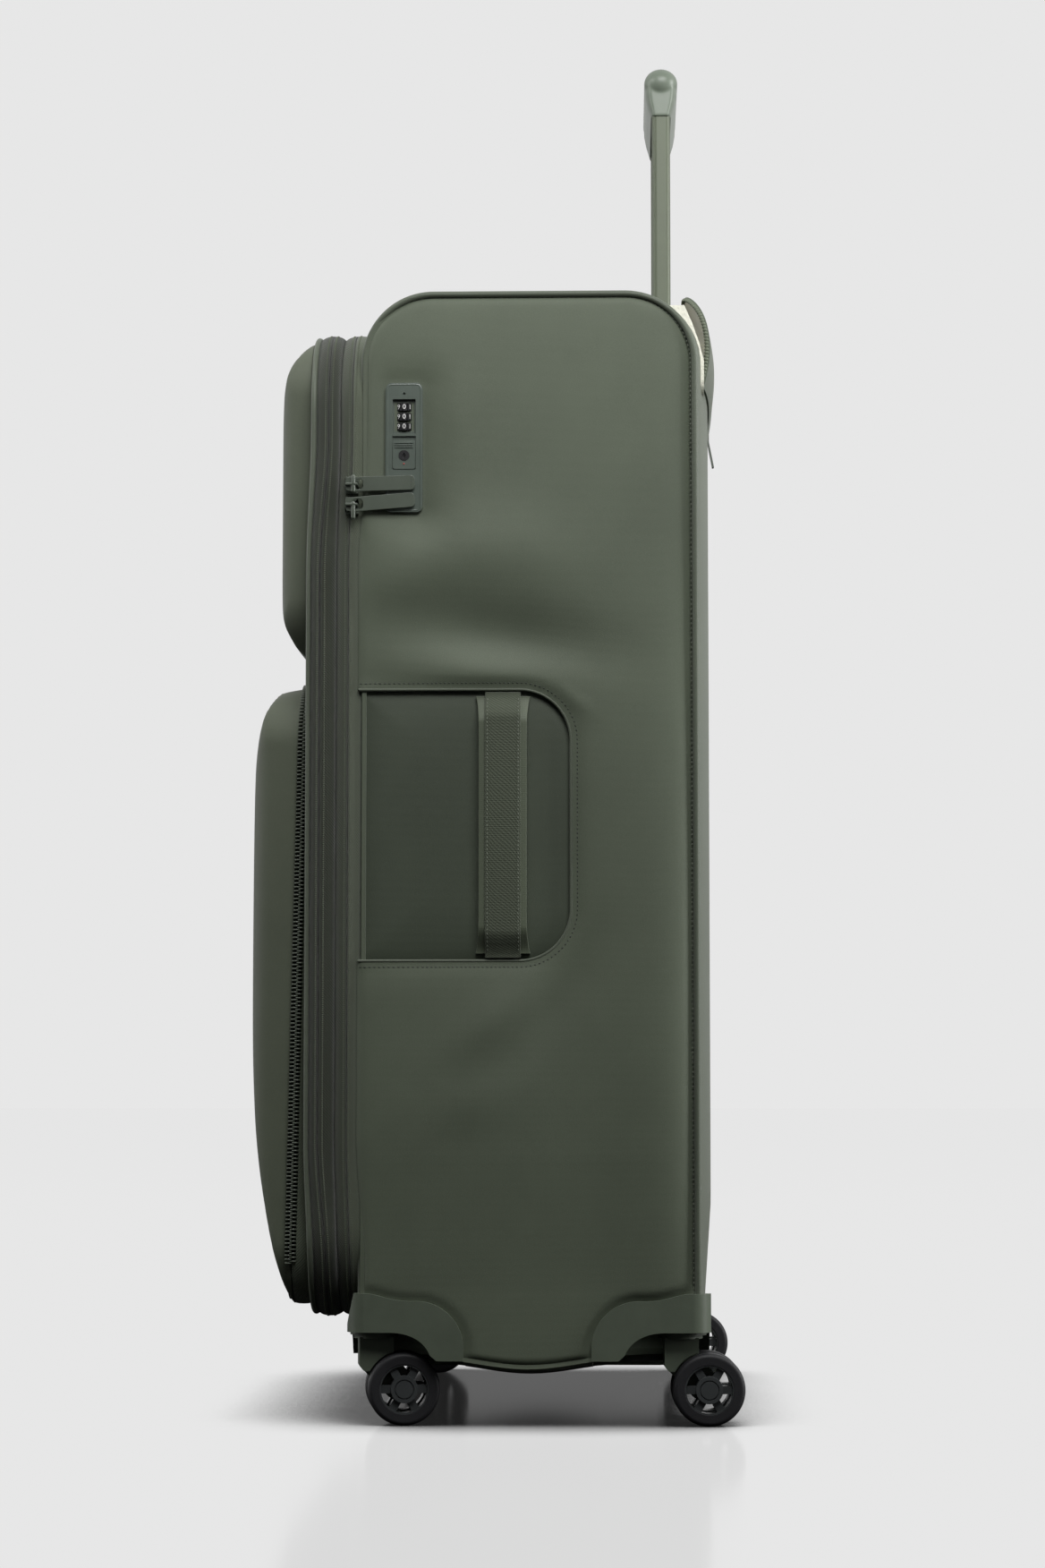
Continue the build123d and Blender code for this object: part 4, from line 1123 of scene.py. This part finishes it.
front_pipe = piping("front_edge_piping", lid_track, front_y + 2.5 * MM, 1 * MM, pipe_r, "xz", 420)
shifted(front_pipe, 2, lambda x, y, z: lid_bow(x, z))
join_frame(wandering(front_pipe), "front", piping_cloth, ["front_piping"])
print("zip bands done")

# %% [markdown]
# Two cloth pieces lie between bodies. The folded gusset joins the lid and the front between the
# chains, and the hinge strip joins the case and the lid on the far side. Both are made in place
# and are not attached to a body.

# %% Pieces between bodies
fold_deep = 4.6 * MM
fold_section = [
    (chain_exp + (7 - 13 * t) * MM, -fold_deep - 0.5 * MM * math.cos(2 * math.pi * 3 * t))
    for t in np.linspace(0, 1, 15)
]
fold_section += [(y, lift - 1.2 * MM) for y, lift in reversed(fold_section)]
fold_cloth = ring("expander_fold", fold_section, 240)
dress(fold_cloth, lining_cloth)
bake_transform(fold_cloth)
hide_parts("expansion_gusset")

strip_low, strip_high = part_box("lid_hinge_strip")


def hinge_point(u, v):
    y = mouth + 1.2 * MM - 17.3 * MM * u
    z = strip_low.z + (strip_high.z - strip_low.z) * v
    return -(lid_half + 2.3 * MM) + 0.0 * y, y, z


hinge_cloth = cloth_grid("hinge_strip_cloth", 24, 60, hinge_point, (17 * MM, strip_high.z - strip_low.z))
thicken(smooth(face_towards(hinge_cloth, 0, -1, middle=False)), 1.2 * MM)
dress(hinge_cloth, zip_tape_painted_light)
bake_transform(hinge_cloth)
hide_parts("lid_hinge_strip")

# %% [markdown]
# The front carries two pockets. Each is a soft box whose bulge is the lesser of two curves, one up its
# height and one across its width, with the ridge between them eased as cloth over foam would be. The
# lower pocket opens with a coarse zip, half of it on the front's rim and half on the pocket.


# %% Front panel and pockets
def through(points):
    """A smooth curve through given points, without overshoot: value by place."""
    xs = np.array([p[0] for p in points])
    ys = np.array([p[1] for p in points])
    slopes = np.diff(ys) / np.diff(xs)
    mid = np.where(slopes[:-1] * slopes[1:] > 0, 2 * slopes[:-1] * slopes[1:] / (slopes[:-1] + slopes[1:] + 1e-12), 0)
    tangents = np.concatenate([[slopes[0]], mid, [slopes[-1]]])

    def value(x):
        x = np.clip(x, xs[0], xs[-1])
        i = np.clip(np.searchsorted(xs, x) - 1, 0, len(xs) - 2)
        h = xs[i + 1] - xs[i]
        t = (x - xs[i]) / h
        a, b = (2 * t ** 3 - 3 * t ** 2 + 1), (t ** 3 - 2 * t ** 2 + t) * h
        c, d = (-2 * t ** 3 + 3 * t ** 2), (t ** 3 - t ** 2) * h
        return a * ys[i] + b * tangents[i] + c * ys[i + 1] + d * tangents[i + 1]

    return value


def lesser(a, b, ease):
    close = np.maximum(ease - np.abs(a - b), 0) / ease
    return np.minimum(a, b) - close ** 2 * ease / 4


width_curve = through([(0, 1), (0.62, 0.955), (0.89, 0.86), (0.958, 0.74), (0.992, 0.4), (1, 0)])
lower_curve = through(
    [(0, 0), (0.046, 0.2), (0.145, 0.5), (0.305, 0.81), (0.5, 0.975), (0.655, 1), (0.787, 0.957),
     (0.851, 0.914), (0.912, 0.8), (0.954, 0.65), (0.9785, 0.52), (0.991, 0.43), (0.9965, 0.28), (1, 0)]
)
upper_curve = through(
    [(0, 0), (0.05, 0.48), (0.17, 0.9), (0.39, 1), (0.66, 0.96), (0.81, 0.86), (0.90, 0.62), (0.955, 0.32), (1, 0)]
)
pocket_half = 236 * MM
pocket_r = 45 * MM
pocket_low, pocket_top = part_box("lower_pocket")[0].z, 523 * MM
pocket_face = mouth - 86 * MM
rim_y = mouth - 46 * MM
rim_lean = 4 * MM
pocket_track = Track(-pocket_half, pocket_half, pocket_low, pocket_top, [pocket_r] * 4)


def rim_at(z):
    """The pocket's zip leans: nearer to the case at its top than at its bottom."""
    return rim_y + rim_lean * np.clip((z - 314 * MM) / (194 * MM), -1, 1)


def bulge_grid(name, low, top, radius, depth_at, across=96, up=110):
    def point(u, v):
        x, z = rounded(
            edge_crowded(u, 1.9), edge_crowded(v, 1.7), -pocket_half, pocket_half, low, top, [radius] * 4
        )
        return x, depth_at(x, z), z

    obj = cloth_grid(name, across, up, point, (2 * pocket_half, top - low))
    return face_towards(obj, 1, -1)


def edge_share(x, z, low, top, radius, reach):
    """1 well inside a pocket's outline and 0 at it, so that corners close as well as sides."""
    deep = inside(x, z, -pocket_half, pocket_half, low, top, [radius] * 4)
    return 1 - np.exp(-np.maximum(deep, 0) / reach)


def lower_depth(x, z):
    share = lesser(
        width_curve(np.abs(x) / pocket_half), lower_curve((z - pocket_low) / (pocket_top - pocket_low)), 0.16
    )
    share = np.minimum(share, 1.02 * edge_share(x, z, pocket_low, pocket_top, pocket_r, 6 * MM))
    base = rim_at(z) - 0.4 * MM
    return base - (base - pocket_face) * np.maximum(share, 0)


def upper_depth(x, z):
    low, top = up_low, up_top
    share = lesser(width_curve(np.abs(x) / pocket_half), upper_curve((z - low) / (top - low)), 0.12)
    share = np.minimum(share, 1.02 * edge_share(x, z, low, top, pocket_r, 6 * MM))
    return front_y - 0.4 * MM - 26 * MM * np.maximum(share, 0)


up_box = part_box("upper_pocket")
up_low, up_top = up_box[0].z, up_box[1].z + 4 * MM


def front_point(u, v):
    inset = 2.4 * MM
    x, z = rounded(
        edge_crowded(u), edge_crowded(v), -lid_half + inset, lid_half - inset, lid_low + inset, lid_top - inset,
        [lid_r - inset] * 4,
    )
    y = front_y + 1.5 * MM - 1.8 * MM * (1 - (x / lid_half) ** 6)
    return x, y, z + lid_bow(x, z) * (np.abs(z - 0.42) / 0.35) ** 4


front_sheet = cloth_grid("front_sheet", 60, 84, front_point, (2 * lid_half, lid_top - lid_low))
thicken(smooth(face_towards(front_sheet, 1, -1, middle=False)), 2.5 * MM)
join_frame(front_sheet, "front", pocket_cloth, ["front_panel"])

rim_section = [
    (front_y + 0.5 * MM, 0.0), (front_y - 2 * MM, 0.5 * MM), (front_y - 4 * MM, 0.6 * MM), (front_y - 6 * MM, 0.5 * MM),
    (rim_y + 0.3 * MM, 0.0), (rim_y + 0.3 * MM, -3 * MM), (front_y + 0.5 * MM, -3 * MM),
]


def rim_skew(a, b, y):
    return (rim_at(b) - rim_y) * np.clip((front_y - y) / (front_y - rim_y), 0, 1)


rim = ring("pocket_rim", rim_section, 260, pocket_track, False, rim_skew)
join_frame(rim, "front", zip_tape_painted_light, ["front_panel"])

lower = bulge_grid("lower_pocket_cloth", pocket_low, pocket_top, pocket_r, lower_depth)
thicken(smooth(lower), 3 * MM)
join_frame(lower, "pocket", pocket_cloth, ["lower_pocket"])
upper = bulge_grid("upper_pocket_cloth", up_low, up_top, pocket_r, upper_depth, 96, 90)
thicken(smooth(upper), 3 * MM)
join_frame(upper, "front", pocket_cloth, ["upper_pocket"])


def tooth_stamp(long, wide, high):
    """A moulded zip tooth: a small block with its top edges taken off."""
    bpy.ops.object.select_all(action="DESELECT")
    bpy.ops.mesh.primitive_cube_add(size=1)
    obj = shape(bpy.context.object, lambda co: co * (long, wide, high))
    shape(obj, lambda co: np.column_stack([np.where(co[:, 2] > 0, 0.7, 1.0) * co[:, 0], co[:, 1], co[:, 2]]))
    return obj


def pocket_teeth(name, side, shift):
    pitch = 2.75 * MM
    count = int(pocket_track.length / pitch)
    u = (np.arange(count) + shift) / count
    a, b = pocket_track.at(u)
    oa, ob = pocket_track.out(u)
    keep = b > pocket_low + 30 * MM
    a, b, oa, ob = a[keep], b[keep], oa[keep], ob[keep]
    none = np.zeros_like(a)
    at = np.column_stack([a + oa * 1.4 * MM, rim_at(b) + side * 1.6 * MM, b + ob * 1.4 * MM])
    along, out = np.column_stack([-ob, none, oa]), np.column_stack([oa, none, ob])
    return copies(name, tooth_stamp(1.5 * MM, 4.4 * MM, 2.2 * MM), at, along, out)


# Painted shade: a near-black strip along each side of the pocket zip stands for the shade in its gap.
for name, side, body in (("zip_gap_front", 1, "front"), ("zip_gap_pocket", -1, "pocket")):
    inner, outer = rim_y + side * 0.05 * MM, rim_y + side * 4.0 * MM
    gap_section = [(inner, 0.55 * MM), (outer, 0.55 * MM), (outer, -2 * MM), (inner, -2 * MM)]
    gap = ring(name, gap_section, 260, pocket_track, False, lambda a, b, y: rim_at(b) - rim_y)
    shape(gap, lambda co: np.where(co[:, 2:] < pocket_low + 32 * MM, co * (0.985, 1, 1) + (0, 0, 3 * MM), co))
    join_frame(gap, body, black_painted_shade)
join_frame(pocket_teeth("pocket_teeth_front", 1, 0.25), "front", tooth_plastic)
join_frame(pocket_teeth("pocket_teeth_pocket", -1, 0.75), "pocket", tooth_plastic)
print("front and pockets done")

# %% [markdown]
# The rear flap stands a little open behind the handle tubes. Its outside is the case's cloth and its
# inside is pale fleece, with a row of zip teeth along its free edges. The compartment behind it is lined
# with the same fleece.

# %% Rear flap and its compartment
hinge_y = back + 12.4 * MM
hinge_z = 736.5 * MM
flap_low, flap_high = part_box("rear_flap")
flap_half = flap_high.x
flap_radii = [3 * MM, 3 * MM, 34 * MM, 34 * MM]
arc_through = np.array([
    (hinge_y + 1.2 * MM, hinge_z + 1.2 * MM),
    (hinge_y + 4.0 * MM, hinge_z + 31 * MM),
    (flap_low.y + 2.2 * MM, flap_high.z),
])


def circle_by(points):
    (ax, ay), (bx, by), (cx, cy) = points
    d = 2 * (ax * (by - cy) + bx * (cy - ay) + cx * (ay - by))
    ux = ((ax ** 2 + ay ** 2) * (by - cy) + (bx ** 2 + by ** 2) * (cy - ay) + (cx ** 2 + cy ** 2) * (ay - by)) / d
    uy = ((ax ** 2 + ay ** 2) * (cx - bx) + (bx ** 2 + by ** 2) * (ax - cx) + (cx ** 2 + cy ** 2) * (bx - ax)) / d
    return np.array([ux, uy]), math.hypot(ax - ux, ay - uy)


flap_center, flap_radius = circle_by(arc_through)
first = math.atan2(*(arc_through[0] - flap_center)[::-1])
last = math.atan2(*(arc_through[2] - flap_center)[::-1])
flap_long = abs(last - first) * flap_radius


def flap_surface(x, s, depth):
    """A point of the flap at x and at a length s up from its hinge, depth inside its outer face."""
    turn = first + (last - first) * s / flap_long
    r = flap_radius - depth
    tuck = (crown - crown_at(x)) * (0.55 + 0.45 * np.cos(np.pi * s / flap_long))
    return x, flap_center[0] + r * np.cos(turn) - tuck, flap_center[1] + r * np.sin(turn)


def flap_sheet(name, depth, inset):
    def point(u, v):
        x, s = rounded(
            edge_crowded(u), edge_crowded(v, 1.2), -flap_half + inset, flap_half - inset, inset, flap_long - inset,
            [max(r - inset, 0.5 * MM) for r in flap_radii],
        )
        sag = 1.6 * MM * np.sin(np.pi * s / flap_long) * np.cos(3 * np.pi * x / (2 * flap_half)) ** 2
        return flap_surface(x, s, depth - 0.4 * sag)

    obj = cloth_grid(name, 72, 30, point, (2 * flap_half, flap_long))
    return smooth(obj)


outer = face_towards(flap_sheet("flap_cloth", 0.0, 0.0), 1, 1)
thicken(outer, 2.2 * MM)
join_frame(smooth(outer, 50), "flap", shell_cloth, ["rear_flap"])
inner = face_towards(flap_sheet("flap_lining", 2.5 * MM, 2.5 * MM), 1, -1)
thicken(inner, 1.0 * MM)
join_frame(smooth(inner, 50), "flap", cream_fleece, ["rear_flap"])

flap_track = Track(-flap_half + 1.5 * MM, flap_half - 1.5 * MM, 0, flap_long - 1.5 * MM, [r * 0.95 for r in flap_radii])
count = int(flap_track.length / (2.5 * MM))
xs, ss = flap_track.at((np.arange(count) + 0.5) / count)
oxs, oss = flap_track.out((np.arange(count) + 0.5) / count)
keep = ss > 8 * MM
xs, ss, oxs, oss = xs[keep], ss[keep], oxs[keep], oss[keep]
at = np.column_stack(flap_surface(xs, ss, 2.4 * MM))
step = 0.5 * MM
ahead = np.column_stack(flap_surface(xs - oss * step, ss + oxs * step, 2.4 * MM))
beyond = np.column_stack(flap_surface(xs + oxs * step, ss + oss * step, 2.4 * MM))
at = at + (beyond - at) / step * 1.2 * MM
flap_teeth = copies("flap_teeth", bead_stamp(1.7 * MM, 3.6 * MM, 3.0 * MM), at, ahead - at, beyond - at)
join_frame(flap_teeth, "flap", coil_plastic)


def fleece_tub(name, low, high, open_faces, ease, wall, mat, body, stands_for, wave, trim=None):
    """A soft box with some faces left out: eased edges, divided, gently uneven, with a wall."""
    obj = box_cutter(low, high)
    obj.name = obj.data.name = name
    box = bmesh.new()
    box.from_mesh(obj.data)
    box.normal_update()
    gone = [f for f in box.faces if tuple(round(v) for v in f.normal) in open_faces]
    bmesh.ops.delete(box, geom=gone, context="FACES")
    inner_edges = [e for e in box.edges if len(e.link_faces) == 2]
    bmesh.ops.bevel(box, geom=inner_edges, offset=ease, segments=4, profile=0.5, affect="EDGES")
    for _ in range(4):
        long_edges = [e for e in box.edges if e.calc_length() > 14 * MM]
        bmesh.ops.subdivide_edges(box, edges=long_edges, cuts=1, use_grid_fill=True)
    bmesh.ops.recalc_face_normals(box, faces=box.faces)
    box.to_mesh(obj.data)
    box.free()
    co = coords(obj)
    bump = wave * (np.sin(co[:, 0] / (31 * MM)) * np.sin(co[:, 2] / (23 * MM) + co[:, 1] / (19 * MM)))
    normals = np.array([v.normal for v in obj.data.vertices])
    shape(obj, lambda c: c + normals * bump[:, None])
    if trim:
        shape(obj, trim)
    thicken(obj, wall, 0.0)
    shape(obj, lambda c: np.clip(c, np.array(low) - wall, np.array(high) + wall))
    return join_frame(smooth(obj, 50), body, mat, stands_for)


def under_flap(co):
    """Leaves room for the flap to close over the compartment's side walls."""
    most = back + 7 * MM - 0.42 * np.maximum(co[:, 2] - 762 * MM, 0)
    return np.column_stack([co[:, 0], np.minimum(co[:, 1], most), co[:, 2]])


liner_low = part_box("rear_pocket_liner")[0]
fleece_tub(
    "rear_compartment_fleece",
    (-rear_open_half + 1 * MM, rear_open_y + 1 * MM, liner_low.z + 1 * MM),
    (rear_open_half - 1 * MM, back + 8 * MM, 797 * MM),
    ((0, 1, 0), (0, 0, 1)),
    9 * MM,
    1.6 * MM,
    cream_fleece,
    "case",
    ["rear_pocket_liner"],
    0.5 * MM,
    under_flap,
)
lining_low, lining_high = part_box("case_lining")


def under_crown(co):
    """Keeps the lining inside the rounded corner over the mouth."""
    up = np.clip(co[:, 2] - (seam_top - top_r), 0, 42 * MM)
    least = mouth + top_r - np.sqrt((43 * MM) ** 2 - up ** 2)
    return np.column_stack([co[:, 0], np.where(up > 0, np.maximum(co[:, 1], least), co[:, 1]), co[:, 2]])


fleece_tub(
    "main_lining",
    (lining_low.x + 2.2 * MM, lining_low.y + 0.6 * MM, lining_low.z + 0.6 * MM),
    (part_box("lock_dial_top")[0].x - 2.5 * MM, lining_high.y - 0.6 * MM, lining_high.z - 2 * MM),
    ((0, -1, 0),),
    14 * MM,
    1.0 * MM,
    lining_cloth,
    "case",
    ["case_lining"],
    0.8 * MM,
    under_crown,
)
print("flap and linings done")

# %% [markdown]
# Hard pieces keep the exact shape of their CAD solids, but no moulded or cast edge is razor sharp. Each
# one is copied, its flat faces are made whole again, and its edges are eased by a fraction of a
# millimetre, so that they catch a thin line of light. Pieces inside the case only get their finish.

# %% Hard pieces
bodies = frame["record"]["behaviour"]["bodies"]
body_of = {node: body for body, members in bodies.items() for node in members}


def eased(node, mat, width, angle=32, segments=2, before=None):
    obj = bpy.data.objects.new(node + "_eased", nodes[node].data.copy())
    bpy.context.scene.collection.objects.link(obj)
    only(obj)
    bpy.ops.mesh.customdata_custom_splitnormals_clear()
    in_edit(
        obj,
        lambda: bpy.ops.mesh.remove_doubles(threshold=1e-6),
        lambda: bpy.ops.mesh.dissolve_limited(angle_limit=math.radians(1)),
    )
    if before:
        before(obj)
    ease = obj.modifiers.new("ease", "BEVEL")
    ease.width = width
    ease.segments = segments
    ease.limit_method = "ANGLE"
    ease.angle_limit = math.radians(angle)
    ease.harden_normals = False
    apply_all(obj)
    smooth(obj, 38)
    even = obj.modifiers.new("even", "WEIGHTED_NORMAL")
    even.keep_sharp = True
    apply_all(obj)
    return join_frame(obj, body_of[node], mat, [node])


corners = ("front_near", "rear_near", "front_far", "rear_far")
for corner in corners:
    eased("corner_guard_" + corner, guard_plastic, 0.9 * MM, segments=3)
    eased("caster_fork_" + corner, guard_plastic, 0.4 * MM)
    eased("wheel_hubs_" + corner, hub_plastic, 0.25 * MM)
    eased("wheel_tyres_" + corner, tyre_rubber, 0.3 * MM, angle=40)
for node, mat, slot, width in (
    ("lock_plate", lock_paint, "lock", 0.9 * MM),
    ("lock_button", lock_paint, "lock", 0.3 * MM),
    ("lock_key_barrel", dial_plastic, "key", 0.15 * MM),
    ("lock_dial_top", dial_plastic, "dial", 0.15 * MM),
    ("lock_dial_middle", dial_plastic, "dial", 0.15 * MM),
    ("lock_dial_bottom", dial_plastic, "dial", 0.15 * MM),
    ("main_slider_upper", pull_paint, "pull", 0.5 * MM),
    ("main_slider_lower", pull_paint, "pull", 0.5 * MM),
    ("expander_slider", pull_paint, "pull", 0.4 * MM),
    ("lower_pocket_slider", pull_paint, "pull", 0.4 * MM),
    ("rear_zip_slider", pull_paint, "pull", 0.4 * MM),
    ("handle_button", guard_plastic, "grip", 0.3 * MM),
    ("handle_inner_tubes", tube_paint, "tube", 0.4 * MM),
    ("handle_bezel", guard_plastic, "moulded", 0.4 * MM),
):
    eased(node, mat, width)


# %% [markdown]
# The grip is one soft form: a round bar with domed ends over a web that narrows down to the two tubes.
# Both are drawn as closed skins, fused into one skin by a fine remesh, eased, and cut for the thumb button.

# %% Grip
grip_low, grip_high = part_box("handle_grip")
grip_y = (grip_low.y + grip_high.y) / 2
bar_wide = (grip_high.y - grip_low.y) / 2
bar_high = 11.4 * MM
bar_level = grip_high.z - bar_high
bar_long = grip_high.x
dome = 12 * MM


def grip_bar(u, v):
    x = bar_long * np.sin((u - 0.5) * math.pi)
    past = np.clip((np.abs(x) - (bar_long - dome)) / dome, 0, 1)
    size = np.sqrt(1 - past ** 2)
    turn = 2 * math.pi * v
    return x, grip_y + bar_wide * size * np.cos(turn), bar_level + bar_high * size * np.sin(turn)


web_track = Track(-1.0, 1.0, -0.5, 0.5, [0.2] * 4)


def grip_web(u, v):
    z = grip_low.z + (bar_level + 2 * MM - grip_low.z) * np.clip((u - 0.02) / 0.96, 0, 1)
    open_wide = np.where((u < 0.01) | (u > 0.99), 0.0, 1.0)
    up = (z - grip_low.z) / MM
    wide = np.interp(up, [0, 4, 10, 18, 26], [7.7, 8.8, 10.7, 12.2, 12.4]) * MM
    a, b = web_track.at(v)
    return a * 71.5 * MM * open_wide, grip_y + 2 * b * wide * open_wide, z


grip = together("grip", cloth_grid("bar", 120, 48, grip_bar), cloth_grid("web", 50, 160, grip_web))
fuse = grip.modifiers.new("fuse", "REMESH")
fuse.mode = "VOXEL"
fuse.voxel_size = 0.75 * MM
ease = grip.modifiers.new("ease", "SMOOTH")
ease.factor = 0.5
ease.iterations = 8
apply_all(grip)
button_low, button_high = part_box("handle_button")
well_gap = 0.4 * MM
button_track = Track(
    button_low.x - well_gap, button_high.x + well_gap, button_low.y - well_gap, button_high.y + well_gap, [5.7 * MM] * 4
)
button_well = prism(button_track, grip_low.z + 19 * MM, grip_high.z + 5 * MM, flat="xy")
cut_away(grip, button_well)
join_frame(smooth(grip, 40), "trolley", grip_paint, ["handle_grip"])
print("grip", len(grip.data.polygons), "faces")

# %% [markdown]
# Each pull tab of the main zip hangs from a bar that bridges its slider. The lock plate gets a rounded
# rim, and its button a small red dot under the key.


# %% Pull tabs, their bars and the lock's rim
def reach_over(obj):
    """Draws out the far end of a pull tab's eye, past the middle of the chain."""
    shifted(obj, 1, lambda x, y, z: -2.5 * MM * np.clip((chain_main + 0.7 * MM - y) / (1.5 * MM), 0, 1))


for node in ("main_pull_upper", "main_pull_lower"):
    eased(node, pull_paint, 0.3 * MM, before=reach_over)
bar_y = chain_main + 1.2 * MM
for name, body, low, high in (
    ("slider_bar_upper", "slider_upper", 656 * MM, 669 * MM),
    ("slider_bar_lower", "slider_lower", 637 * MM, 650 * MM),
):
    bar = box_cutter((252.5 * MM, bar_y - 1.5 * MM, low), (257.2 * MM, bar_y + 1.5 * MM, high))
    bar.name = bar.data.name = name
    ease = bar.modifiers.new("ease", "BEVEL")
    ease.width = 1.3 * MM
    ease.segments = 4
    apply_all(bar)
    join_frame(smooth(bar, 40), body, pull_paint)
lock_track = Track(lock_low.y, lock_high.y, lock_low.z, lock_high.z, [4.5 * MM] * 4)
rim = piping("lock_rim", lock_track, lock_high.x - 1.1 * MM, 1.25 * MM, 1.3 * MM, "yz", 200)
join_frame(rim, "case", lock_paint)
dot_low, dot_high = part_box("lock_button")
dot_at = (dot_high.x, (dot_low.y + dot_high.y) / 2, 677 * MM)
dot = copies("lock_dot", bead_stamp(1.1 * MM, 1.1 * MM, 0.3 * MM), [dot_at], [(0, 1, 0)], [(1, 0, 0)])
join_frame(dot, body_of["lock_button"], mark_red)
for node, mat in (
    ("back_board", board_plastic),
    ("base_tray", guard_plastic),
    ("caster_screws", steel),
    ("handle_outer_tubes", steel),
    ("release_rods", steel),
    *(("caster_axle_" + corner, steel) for corner in corners),
):
    dress(nodes[node], mat)
print("hard pieces done")

# %% [markdown]
# Each dial carries the ten plain numerals. A numeral is set as text, turned into a mesh, and laid on the
# dial's drum at its own angle.

# %% Numerals on the dials
for place in ("top", "middle", "bottom"):
    node = "lock_dial_" + place
    low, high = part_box(node)
    axis_x, axis_y, level = (low.x + high.x) / 2, (low.y + high.y) / 2, (low.z + high.z) / 2
    drum = (high.x - low.x) / 2 + 0.06 * MM
    marks = []
    for value in range(10):
        bpy.ops.object.select_all(action="DESELECT")
        bpy.ops.object.text_add()
        text = bpy.context.object
        text.data.body = str(value)
        text.data.size = 5.0 * MM
        text.data.align_x = "CENTER"
        text.data.align_y = "CENTER"
        text.data.extrude = 0.05 * MM
        text.data.resolution_u = 3
        bpy.ops.object.convert(target="MESH")
        mark = bpy.context.object
        turn = math.radians(36 * value)

        def lay(co, turn=turn):
            around = turn + co[:, 0] / drum
            r = drum + co[:, 2]
            return np.column_stack([axis_x + r * np.cos(around), axis_y + r * np.sin(around), level + co[:, 1]])

        marks.append(shape(mark, lay))
    join_frame(together("numerals_" + place, *marks), body_of[node], digit_white)
print("numerals done")
